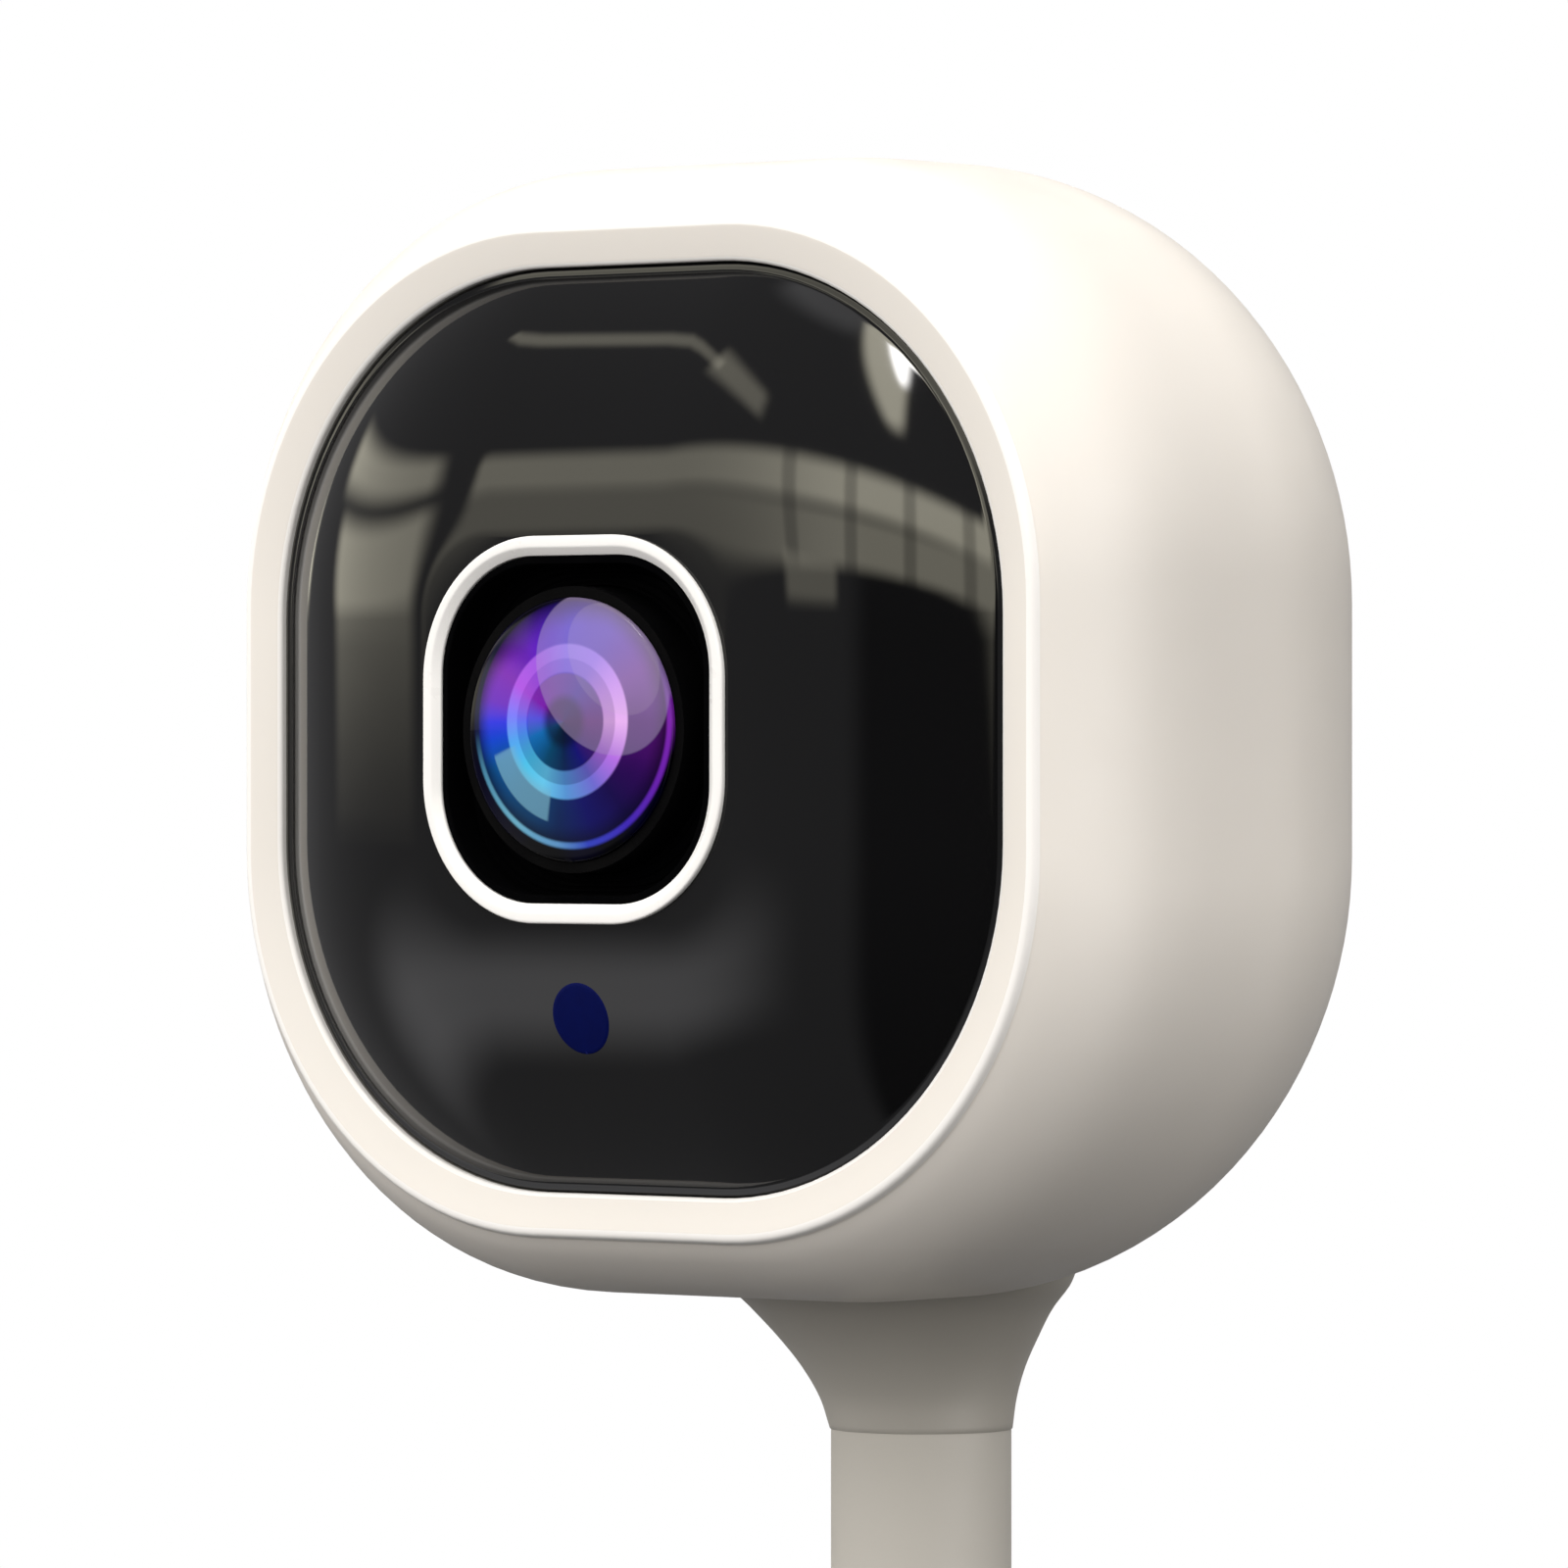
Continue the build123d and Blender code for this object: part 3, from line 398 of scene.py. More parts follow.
    # Painted reflections of lamps: a large oval upper right with a smaller one in it, and a cyan patch
    # lower left.
    big_reflection = nodes.maths("MULTIPLY", lamp_reflection_spot(0.31, 0.36, 0.7, 0.52),
                        nodes.between(span, 0.95, 0.97, 1.0, 0.0))
    base = nodes.mix(nodes.maths("MULTIPLY", big_reflection, 0.28), base, tint(176, 158, 200))
    small_reflection = nodes.maths("MULTIPLY", lamp_reflection_spot(0.42, 0.47, 0.5, 0.33), big_reflection)
    base = nodes.mix(nodes.maths("MULTIPLY", small_reflection, 0.12), base, tint(190, 176, 190))
    lower_reflection = nodes.maths("MULTIPLY", nodes.between(angle, 198 / 360, 201 / 360),
                         nodes.between(angle, 253 / 360, 256 / 360, 1.0, 0.0))
    lower_reflection = nodes.maths("MULTIPLY", lower_reflection, nodes.between(span, 0.77, 0.79, 1.0, 0.0))
    lower_reflection = nodes.maths("MULTIPLY", lower_reflection, nodes.between(span, 0.5, 0.6))
    base = nodes.mix(nodes.maths("MULTIPLY", lower_reflection, 0.6), base, tint(120, 178, 204))

    nodes.link(base, shader.inputs["Base Color"])
    shader.inputs["Roughness"].default_value = 0.12
    shader.inputs["Specular IOR Level"].default_value = 0.06
    shader.inputs["Coat Weight"].default_value = 0.04
    shader.inputs["Coat Roughness"].default_value = 0.02
    return material


def lamp_window(name):
    """Dark blue translucent window with a faint cloudiness."""
    material, nodes, shader = new_material(name)
    cloud = nodes.noise(nodes.place(), 1500.0)
    nodes.link(nodes.mix(cloud, tint(0, 6, 64), tint(0, 11, 76)), shader.inputs["Base Color"])
    shader.inputs["Roughness"].default_value = 0.6
    shader.inputs["Specular IOR Level"].default_value = 0.06
    return material


indicator_blue = lamp_window("indicator_blue")

CAD_MATERIALS = {
    "rear_cover": housing_white,
    "lens_barrel": barrel_black,
    "rear_lens": filter_glass,
    "lens_holder": barrel_black,
    "ir_cut_coil": coil_plastic,
    "microsd_socket": tinned_steel,
    "speaker": chip_black,
    "microphone": tinned_steel,
    "image_sensor": filter_glass,
    "soc_chip": chip_black,
    "main_board": board_green,
    "led_board": board_green,
    "card_board": board_green,
    "ir_leds": led_resin,
    "heat_spreader": heat_alloy,
    "wifi_shield": tinned_steel,
    "antenna": contact_gold,
    "neck_stud": tinned_steel,
    "neck_nut": tinned_steel,
    "board_screws": tinned_steel,
    "head_cable": cable_jacket,
    "ir_filter_carrier": filter_black,
    "ir_cut_glass": filter_glass,
    "reset_button": button_grey,
    "plug_ferrule": tinned_steel,
    "plug_cable": cable_jacket,
    "plug_shell": plug_steel,
    "plug_tongue": tongue_white,
    "plug_contacts": contact_gold,
}
for name in frame["nodes"]:
    if name.startswith("gooseneck_core"):
        CAD_MATERIALS[name] = tinned_steel
    if name.startswith("cable_"):
        CAD_MATERIALS[name] = cable_jacket
for name, material in CAD_MATERIALS.items():
    slots = frame["nodes"][name].data.materials
    slots.clear()
    slots.append(material)

# ---------------------------------------------------------------- mesh helpers

CORNER_STEPS = 28
SIDE_STEPS = 8
ROUND_STEPS = 6
SEGMENTS = 96


def square_outline(half, straight):
    """(x, z) points round a rounded square; a straight length of 0 makes a circle."""
    corner = half - straight
    points = []
    for quarter in range(4):
        turn_cos = (1, 0, -1, 0)[quarter]
        turn_sin = (0, 1, 0, -1)[quarter]
        side = [(half, straight * (2 * i / SIDE_STEPS - 1)) for i in range(SIDE_STEPS)]
        arc = []
        for i in range(CORNER_STEPS):
            angle = math.pi / 2 * i / CORNER_STEPS
            arc.append((straight + corner * math.cos(angle), straight + corner * math.sin(angle)))
        for x, z in side + arc:
            points.append((x * turn_cos - z * turn_sin, x * turn_sin + z * turn_cos))
    return points


def face_ring(depth, half, straight):
    """A rounded-square ring across the head."""
    return [(x, FACE_Y + depth, HEAD_Z + z) for x, z in square_outline(half, straight)]


def level_ring(height, half_x, half_y):
    """A level oval ring round the hose axis."""
    ring = []
    for i in range(SEGMENTS):
        angle = 2 * math.pi * i / SEGMENTS
        ring.append((half_x * math.cos(angle), half_y * math.sin(angle), height))
    return ring


def softened(profile):
    """Rounds a profile's corners. Rows are (depth, half, straight, radius), and a closed loop."""
    rows = []
    count = len(profile)
    for i, (depth, half, straight, radius) in enumerate(profile):
        if not radius:
            rows.append((depth, half, straight))
            continue
        before = profile[i - 1]
        after = profile[(i + 1) % count]
        ends = []
        for other in (before, after):
            gap = math.hypot(other[0] - depth, other[1] - half)
            share = min(radius / gap, 0.49)
            row = (depth, half, straight)
            ends.append(tuple(a + (b - a) * share for a, b in zip(row, other[:3])))
        for step in range(ROUND_STEPS + 1):
            t = step / ROUND_STEPS
            rows.append(tuple(
                (1 - t) ** 2 * a + 2 * t * (1 - t) * b + t * t * c
                for a, b, c in zip(ends[0], (depth, half, straight), ends[1])
            ))
    return rows


def loft(name, rings, material, wrap=False, smooth_angle=40):
    """Mesh through rings of equal length; wrap joins the last ring to the first, else ends close."""
    count = len(rings[0])
    vertices = [tuple(c * MM for c in point) for ring in rings for point in ring]
    faces = []
    pairs = len(rings) if wrap else len(rings) - 1
    for r in range(pairs):
        base = r * count
        above = ((r + 1) % len(rings)) * count
        for i in range(count):
            j = (i + 1) % count
            faces.append((base + i, base + j, above + j, above + i))
    if not wrap:
        for first, flip in ((0, True), ((len(rings) - 1) * count, False)):
            ring = [vertices[first + i] for i in range(count)]
            middle = tuple(sum(axis) / count for axis in zip(*ring))
            vertices.append(middle)
            top = len(vertices) - 1
            for i in range(count):
                j = (i + 1) % count
                corner = (first + i, first + j, top)
                faces.append(corner[::-1] if flip else corner)
    mesh = bpy.data.meshes.new(name)
    mesh.from_pydata(vertices, [], faces)
    mesh.validate()
    mesh.polygons.foreach_set("use_smooth", [True] * len(mesh.polygons))
    mesh.set_sharp_from_angle(angle=math.radians(smooth_angle))
    mesh.materials.append(material)
    piece = bpy.data.objects.new(name, mesh)
    bpy.context.scene.collection.objects.link(piece)
    outward(mesh)
    return piece


def outward(mesh):
    """Turns a closed mesh's faces to look outward."""
    volume = 0.0
    for polygon in mesh.polygons:
        corners = [mesh.vertices[i].co for i in polygon.vertices]
        for a, b in zip(corners[1:], corners[2:]):
            volume += corners[0].dot(a.cross(b))
    if volume < 0:
        mesh.flip_normals()


def finish_piece(piece, body, replaced):
    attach(piece, body)
    if replaced:
        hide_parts(*replaced)


# ---------------------------------------------------------------- head housing

FRONT_HALF = 25.15
FRONT_STRAIGHT = 6.05
HEAD_HALF = 28.25
HEAD_STRAIGHT = 7.25
SWELL_DEPTH = 11.5
SWELL_POWER = 3.5
BACK_START = 15.3
HEAD_DEPTH = 38.0
SPLIT_DEPTH = 30.0
WALL = 2.0
BEVEL = 0.5
WINDOW_HALF = 22.86
WINDOW_STRAIGHT = 5.5
LEDGE_DEPTH = 4.0
BULKHEAD_BACK = 5.5
BULKHEAD_HOLE, BULKHEAD_HOLE_STRAIGHT = 9.6, 2.4
WALL_SHADE_FROM = 0.3         # the painted shade grey on the window's wall starts at this depth


def head_outline(depth, wall=0.0):
    """Half width and straight half length of the head's rounded square at a depth."""
    if depth < SWELL_DEPTH:
        inward = ((SWELL_DEPTH - depth) / SWELL_DEPTH) ** SWELL_POWER
        half = HEAD_HALF - (HEAD_HALF - FRONT_HALF) * inward
        straight = HEAD_STRAIGHT - (HEAD_STRAIGHT - FRONT_STRAIGHT) * inward
        return half - wall, straight
    if depth <= BACK_START:
        return HEAD_HALF - wall, HEAD_STRAIGHT
    reach = (depth - BACK_START) / (HEAD_DEPTH - wall - BACK_START)
    closing = math.sqrt(1 - reach**2)
    return (HEAD_HALF - wall) * closing, HEAD_STRAIGHT * closing


def steps(first, last, count):
    return [first + (last - first) * i / count for i in range(count + 1)]


def housing_shell():
    """Front housing: swollen sides, rounded bezel edge, funnelled face, recess and bulkhead."""
    outer = []
    for depth in steps(SPLIT_DEPTH - 0.6, BEVEL, 42):
        half, straight = head_outline(depth)
        outer.append((depth, half, straight, 0))
    inner = []
    for depth in steps(BULKHEAD_BACK + 1.4, SPLIT_DEPTH - 1, 26):
        half, straight = head_outline(depth, WALL)
        inner.append((depth, half, straight, 0))
    split_half, split_straight = head_outline(SPLIT_DEPTH)
    split_inner, split_inner_straight = head_outline(SPLIT_DEPTH, WALL)
    bulk_half, bulk_straight = head_outline(BULKHEAD_BACK, WALL)
    profile = [(SPLIT_DEPTH, split_half, split_straight, 0.22)]
    profile += outer
    profile += [
        (BEVEL - LIP_FRONT, FRONT_HALF - 0.02, FRONT_STRAIGHT, 0.1),
        (-LIP_FRONT + 0.08, FRONT_HALF - 0.15, FRONT_STRAIGHT, 0.2),
        (-LIP_FRONT, FRONT_HALF - BEVEL, FRONT_STRAIGHT, 0.15),
        (-0.04, WINDOW_HALF, WINDOW_STRAIGHT, 0.3),
        (0.35, WINDOW_HALF, WINDOW_STRAIGHT, 0),
        (LEDGE_DEPTH, WINDOW_HALF, WINDOW_STRAIGHT, 0.15),
        (LEDGE_DEPTH, BULKHEAD_HOLE, BULKHEAD_HOLE_STRAIGHT, 0.1),
        (BULKHEAD_BACK, BULKHEAD_HOLE, BULKHEAD_HOLE_STRAIGHT, 0.1),
        (BULKHEAD_BACK, bulk_half, bulk_straight, 0.8),
    ]
    profile += inner
    profile.append((SPLIT_DEPTH, split_inner, split_inner_straight, 0.15))
    rows = softened(profile)
    piece = loft("housing_shell", [face_ring(*row) for row in rows], housing_white, wrap=True)
    paint_edge_highlight_and_wall_shade(piece.data, rows)
    finish_piece(piece, "head", ["front_housing"])


def paint_edge_highlight_and_wall_shade(mesh, rows):
    """Painted highlight: a paler white on the bezel's and the window's edges; painted shade: a grey down
    the window's wall.
    """
    mesh.materials.append(edge_highlight_white)
    mesh.materials.append(wall_shade_grey)
    count = len(mesh.polygons) // len(rows)
    for i, row in enumerate(rows):
        after = rows[(i + 1) % len(rows)]
        depth = (row[0] + after[0]) / 2
        half = (row[1] + after[1]) / 2
        on_bevel = depth < 0.05 and half > FRONT_HALF - BEVEL - 0.05
        near_window = half < WINDOW_HALF + 0.18
        on_window = depth < WALL_SHADE_FROM and near_window
        on_wall = WALL_SHADE_FROM <= depth < LEDGE_DEPTH and near_window
        if on_bevel or on_window or on_wall:
            for k in range(count):
                mesh.polygons[i * count + k].material_index = 2 if on_wall else 1


# ---------------------------------------------------------------- front panel, rim and lens

PANEL_APEX = -4.4
PANEL_FLAT = 9.5
PANEL_STRAIGHT = 5.5
DOME_RADIUS = 20.0
PANEL_HALF = WINDOW_HALF - 0.08
PANEL_WALL = 1.8
RIM_OUTER, RIM_OUTER_STRAIGHT = 9.48, 2.4
RIM_CHAMFER = 0.42
RIM_INNER, RIM_INNER_STRAIGHT = 8.5, 2.66
RIM_SKIRT, RIM_SKIRT_STRAIGHT = 9.1, 2.4
RIM_FRONT = -4.7
RIM_BACK = -1.6
BAFFLE_FRONT = -2.4
BAFFLE_BACK = BAFFLE_FRONT + 0.8
BAFFLE_WALL = 0.35
BAFFLE_WALL_FRONT = -4.38
BARREL_RADIUS = 7.0
LENS_RADIUS = 6.45
LENS_EDGE = -4.7
LENS_APEX = -5.5
LENS_BACK = -3.4
DOT_DROP = 14.1
DOT_RADIUS = 1.75
DOT_PROUD = 0.03
DOT_SUNK = 0.6


def dome_depth(half, wall=0.0):
    """Depth of the panel's dome where its level outline has this half width."""
    if half <= PANEL_FLAT:
        return PANEL_APEX + wall
    radius = DOME_RADIUS - wall
    return PANEL_APEX + wall + radius - math.sqrt(radius**2 - (half - PANEL_FLAT) ** 2)


def domed_panel():
    """Glossy window: flat middle, round shoulder, narrow flat border and a skirt behind."""
    dome_end = PANEL_HALF - 0.4
    profile = [(PANEL_APEX, RIM_SKIRT + 0.05, RIM_SKIRT_STRAIGHT, 0.05)]
    for half in steps(PANEL_FLAT, dome_end - 0.2, 60):
        profile.append((dome_depth(half), half, PANEL_STRAIGHT, 0))
    profile.append((dome_depth(dome_end), dome_end, PANEL_STRAIGHT, 0.12))
    profile.append((dome_depth(dome_end) + 0.03, PANEL_HALF, PANEL_STRAIGHT, 0.1))
    profile.append((LEDGE_DEPTH, PANEL_HALF, PANEL_STRAIGHT, 0.1))
    inner_half = PANEL_HALF - PANEL_WALL
    profile.append((LEDGE_DEPTH, inner_half, PANEL_STRAIGHT, 0.1))
    for half in steps(inner_half, PANEL_FLAT, 14):
        profile.append((dome_depth(half, PANEL_WALL), half, PANEL_STRAIGHT, 0))
    profile.append((PANEL_APEX + PANEL_WALL, RIM_SKIRT + 0.05, RIM_SKIRT_STRAIGHT, 0.05))
    rings = [face_ring(*row) for row in softened(profile)]
    piece = loft("domed_panel", rings, panel_black, wrap=True)
    finish_piece(piece, "head", ["front_panel"])


def rim_ring():
    """White ring round the lens recess, rounded outside and sloped inside its front edge."""
    profile = [
        (RIM_FRONT + 0.3, RIM_SKIRT, RIM_SKIRT_STRAIGHT, 0),
        (RIM_FRONT + 0.3, RIM_OUTER, RIM_OUTER_STRAIGHT, 0.04),
        (RIM_FRONT, RIM_OUTER, RIM_OUTER_STRAIGHT, 0.16),
        (RIM_FRONT, RIM_INNER + RIM_CHAMFER, RIM_INNER_STRAIGHT, 0.08),
        (RIM_FRONT + 0.28, RIM_INNER, RIM_INNER_STRAIGHT, 0.06),
        (RIM_BACK, RIM_INNER, RIM_INNER_STRAIGHT, 0.05),
        (RIM_BACK, RIM_SKIRT, RIM_SKIRT_STRAIGHT, 0.05),
    ]
    rings = [face_ring(*row) for row in softened(profile)]
    piece = loft("rim_ring", rings, rim_white, wrap=True)
    finish_piece(piece, "head", ["lens_rim"])


def baffle_plate():
    """Matt black cup: a thin wall round a floor with light-trapping ridges round the lens."""
    half, straight = RIM_INNER - 0.05, RIM_INNER_STRAIGHT
    wall_half = half - BAFFLE_WALL
    profile = [
        (BAFFLE_BACK, half, straight, 0.05),
        (BAFFLE_WALL_FRONT, half, straight, 0.08),
        (BAFFLE_WALL_FRONT, wall_half, straight, 0.08),
        (BAFFLE_FRONT, wall_half, straight, 0.1),
    ]
    ridges = 4
    inner_half = BARREL_RADIUS + 0.1
    for i in range(ridges):
        share = (i + 0.5) / ridges
        ridge_half = wall_half + (inner_half - wall_half) * share
        ridge_straight = straight * (1 - share)
        profile.append((BAFFLE_FRONT, ridge_half + 0.08, ridge_straight, 0.03))
        profile.append((BAFFLE_FRONT + 0.15, ridge_half, ridge_straight, 0.03))
        profile.append((BAFFLE_FRONT, ridge_half - 0.08, ridge_straight, 0.03))
    profile.append((BAFFLE_FRONT, inner_half, 0, 0.05))
    profile.append((BAFFLE_BACK, inner_half, 0, 0.05))
    rings = [face_ring(*row) for row in softened(profile)]
    piece = loft("baffle_plate", rings, baffle_black, wrap=True)
    finish_piece(piece, "head", ["lens_baffle"])


def lens_dome():
    """Front lens: a spherical cap with a small ground bevel at its edge."""
    sag = LENS_EDGE - LENS_APEX
    cap_radius = (LENS_RADIUS**2 + sag**2) / (2 * sag)
    rings = []
    for radius in steps(0.15, LENS_RADIUS - 0.15, 40):
        depth = LENS_APEX + cap_radius - math.sqrt(cap_radius**2 - radius**2)
        rings.append(face_ring(depth, radius, 0))
    rings.append(face_ring(LENS_EDGE + 0.02, LENS_RADIUS - 0.03, 0))
    rings.append(face_ring(LENS_EDGE + 0.12, LENS_RADIUS, 0))
    rings.append(face_ring(LENS_BACK - 0.05, LENS_RADIUS, 0))
    rings.append(face_ring(LENS_BACK, LENS_RADIUS - 0.05, 0))
    glass = coated_lens(LENS_RADIUS * MM, HEAD_Z * MM)
    piece = loft("lens_dome", rings, glass, smooth_angle=50)
    finish_piece(piece, "head", ["front_lens"])


def dot_window():
    """Lamp window: a hair proud of the panel and curved with it."""
    rings = []
    rows = [(radius, DOT_PROUD) for radius in steps(0.1, DOT_RADIUS - 0.05, 12)]
    rows += [(DOT_RADIUS, 0.0), (DOT_RADIUS, -DOT_SUNK), (0.1, -DOT_SUNK)]
    for radius, proud in rows:
        ring = []
        for x, z in square_outline(radius, 0):
            out_x = max(abs(x) - PANEL_STRAIGHT, 0)
            out_z = max(abs(z - DOT_DROP) - PANEL_STRAIGHT, 0)
            depth = dome_depth(PANEL_STRAIGHT + math.hypot(out_x, out_z)) - proud
            ring.append((x, FACE_Y + depth, HEAD_Z - DOT_DROP + z))
        rings.append(ring)
    piece = loft("dot_window", rings, indicator_blue, smooth_angle=50)
    finish_piece(piece, "head", ["indicator_window"])


# ---------------------------------------------------------------- neck

# How far below the head's centre, half width, half depth and forward shift.
FLARE_ROWS = (
    (35.5, 4.66, 4.66, 0.0),
    (33.9, 5.05, 5.0, 0.25),
    (32.3, 5.75, 5.65, 0.65),
    (30.8, 6.72, 6.45, 1.1),
    (29.3, 7.9, 7.3, 1.65),
    (27.8, 9.4, 8.1, 2.05),
    (25.0, 10.4, 8.8, 2.4),
    (20.0, 10.8, 9.1, 2.4),
)
SLEEVE_RADIUS = 4.6
SLEEVE_BORE = 3.3
SEAM_ROUND = 0.015
FLARE_WALL = 1.3
FLARE_TOP_DROP = 18     # the flare never reaches higher than this below the head's centre
SHADOW_FILLER_LIFT = 6.0       # from the seam to the shadow filler's lower edge
HOSE_TUCK = 0.8         # the sleeve's lower end sits this far inside the strain relief


def flare_row(drop):
    """Half width, half depth and forward shift at a drop, smoothly between the rows."""
    rows = FLARE_ROWS
    i = 0
    while i < len(rows) - 2 and drop < rows[i + 1][0]:
        i += 1
    low, high = rows[i], rows[i + 1]
    before = rows[max(i - 1, 0)]
    after = rows[min(i + 2, len(rows) - 1)]
    t = (low[0] - drop) / (low[0] - high[0])
    values = []
    for k in (1, 2, 3):
        run = low[0] - high[0]
        slope_low = (high[k] - before[k]) / (before[0] - high[0]) * run
        slope_high = (after[k] - low[k]) / (low[0] - after[0]) * run
        values.append(
            (2 * t**3 - 3 * t**2 + 1) * low[k] + (t**3 - 2 * t**2 + t) * slope_low
            + (3 * t**2 - 2 * t**3) * high[k] + (t**3 - t**2) * slope_high
        )
    return values


def inside_head(x, depth, z, gap):
    """Whether a point (z from the head's centre) is inside the head grown by a gap."""
    half, straight = head_outline(min(max(depth, 0.0), HEAD_DEPTH - 0.5))
    out_x = max(abs(x) - straight, 0)
    out_z = max(abs(z) - straight, 0)
    return math.hypot(out_x, out_z) + straight < half + gap


def flare_top(angle, inset, gap):
    """Smallest drop at which the flare's side at this angle is still outside the head."""
    drop = FLARE_ROWS[0][0] - 1
    while drop > FLARE_TOP_DROP:
        half_x, half_y, forward = flare_row(drop)
        x = (half_x - inset) * math.cos(angle)
        y = -forward + (half_y - inset) * math.sin(angle)
        if inside_head(x, y - FACE_Y, drop, gap):
            return drop
        drop -= 0.05
    return drop


def flare_rings(inset, gap, low_drop, rows):
    """Rings up the flare whose top follows the head's underside."""
    tops = [flare_top(2 * math.pi * i / SEGMENTS, inset, gap) for i in range(SEGMENTS)]
    rings = []
    for share in steps(0, 1, rows):
        ring = []
        for i, top in enumerate(tops):
            angle = 2 * math.pi * i / SEGMENTS
            drop = low_drop + (top - low_drop) * share
            half_x, half_y, forward = flare_row(drop)
            ring.append((
                (half_x - inset) * math.cos(angle),
                -forward + (half_y - inset) * math.sin(angle),
                HEAD_Z - drop,
            ))
        rings.append(ring)
    return rings


def flare_skirt():
    """Trumpet under the head, cut to the head's underside with a hair gap."""
    bottom = HEAD_Z - SEAM_Z
    outer = flare_rings(0.0, 0.16, bottom - SEAM_ROUND, 26)
    rolled = flare_rings(0.12, 0.06, bottom - SEAM_ROUND, 1)[1:]
    inner = flare_rings(FLARE_WALL, 0.06, bottom - 1.2, 12)[::-1]
    bottom_rings = [
        level_ring(SEAM_Z, SLEEVE_BORE, SLEEVE_BORE),
        level_ring(SEAM_Z, FLARE_ROWS[0][1] - SEAM_ROUND, FLARE_ROWS[0][2] - SEAM_ROUND),
    ]
    rings = bottom_rings + outer + rolled + inner
    piece = loft("flare_skirt", rings, neck_white, wrap=True, smooth_angle=50)
    finish_piece(piece, "head", ["neck_flare"])


def neck_shadow_filler():
    """Dark piece in the gap between the flare and the head, standing in for the contact shadow there:
    painted shade.
    """
    bottom = HEAD_Z - SEAM_Z - SHADOW_FILLER_LIFT
    rings = flare_rings(0.32, -0.5, bottom, 8)
    floor_ring = flare_rings(1.0, -0.5, bottom, 1)[0]
    piece = loft("neck_shadow_filler", [floor_ring] + rings, shadow_filler_black, smooth_angle=50)
    finish_piece(piece, "head", [])


# ---------------------------------------------------------------- hose

def hose_skins():
    """Smooth sleeve over the gooseneck: one piece round each hose joint."""
    joints = [j for j in frame["joints"] if j["name"].startswith("hose_")]
    heights = sorted(j["pos_m"][2] / MM for j in joints)
    pitch = heights[1] - heights[0]
    for k, height in enumerate(heights):
        low = height - pitch / 2
        high = height + pitch / 2
        if k == 0:
            low = RELIEF_TOP - HOSE_TUCK
        if k == len(heights) - 1:
            high = SEAM_Z
        rings = [level_ring(z, SLEEVE_RADIUS, SLEEVE_RADIUS) for z in steps(low, high - 0.12, 30)]
        if k == len(heights) - 1:
            rings.append(level_ring(high, SLEEVE_RADIUS - SEAM_ROUND, SLEEVE_RADIUS - SEAM_ROUND))
        else:
            rings.append(level_ring(high, SLEEVE_RADIUS, SLEEVE_RADIUS))
        bore_steps = steps(high, low, 12)
        rings += [level_ring(z, SLEEVE_BORE, SLEEVE_BORE) for z in bore_steps]
        piece = loft(f"hose_skin_{k + 1}", rings, hose_rubber, wrap=True, smooth_angle=60)
        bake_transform(piece)
        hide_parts(f"hose_sleeve_{k + 1}")


# ---------------------------------------------------------------- plug

PLUG_WIDTH = 16.0
PLUG_THICKNESS = 8.4
PLUG_CORNER = 3.0
PLUG_LENGTH = 24.0
PLUG_BASE_ROUND = 0.5
PLUG_TOP_ROUND = 1.2
SHELL_HALF_X, SHELL_HALF_Y, SHELL_CORNER = 6.0, 2.25, 0.5
SHELL_TOP = 6.4


def box_ring(height, half_x, half_y, corner):
    """A level rounded-rectangle ring round the hose axis."""
    ring = []
    for quarter, (sign_x, sign_y) in enumerate(((1, 1), (-1, 1), (-1, -1), (1, -1))):
        for i in range(SEGMENTS // 4):
            angle = math.pi / 2 * (quarter + i / (SEGMENTS // 4 - 1))
            ring.append((
                sign_x * (half_x - corner) + corner * math.cos(angle),
                sign_y * (half_y - corner) + corner * math.sin(angle),
                height,
            ))
    return ring


def plug_grip():
    """Plug over-moulding: rounded ends, and a shallow waist with grip ribs on both sides."""
    rings = []
    half_x, half_y = PLUG_WIDTH / 2, PLUG_THICKNESS / 2
    for angle in steps(0, 90, 6):
        lift = PLUG_BASE_ROUND * (1 - math.cos(math.radians(angle)))
        inset = PLUG_BASE_ROUND * (1 - math.sin(math.radians(angle)))
        rings.append(box_ring(lift, half_x - inset, half_y - inset, PLUG_CORNER - inset))
    rib_low, rib_high, ribs, rib_depth = 6.0, 17.0, 6, 0.3
    for height in steps(0.9, PLUG_LENGTH - 1.5, 150):
        waist = 0.0
        if rib_low < height < rib_high:
            share = (height - rib_low) / (rib_high - rib_low)
            wave = 0.5 - 0.5 * math.cos(2 * math.pi * ribs * share)
            fade = math.sin(math.pi * share) ** 0.5
            waist = rib_depth * wave * fade
        rings.append(box_ring(height, half_x - waist, half_y, PLUG_CORNER - waist * 0.3))
    for angle in steps(0, 90, 10):
        inset = PLUG_TOP_ROUND * (1 - math.cos(math.radians(angle)))
        height = PLUG_LENGTH - PLUG_TOP_ROUND + PLUG_TOP_ROUND * math.sin(math.radians(angle))
        rings.append(box_ring(height, half_x - inset, half_y - inset, PLUG_CORNER - inset))
    rings.append(level_ring(PLUG_LENGTH, SLEEVE_BORE, SLEEVE_BORE))
    rings.append(level_ring(SHELL_TOP + 0.1, SLEEVE_BORE, SLEEVE_BORE))
    for height in (SHELL_TOP, 0.0):
        rings.append(box_ring(height, SHELL_HALF_X, SHELL_HALF_Y, SHELL_CORNER))
    piece = loft("plug_grip", rings, plug_white, wrap=True, smooth_angle=35)
    finish_piece(piece, "plug", ["plug_overmould"])


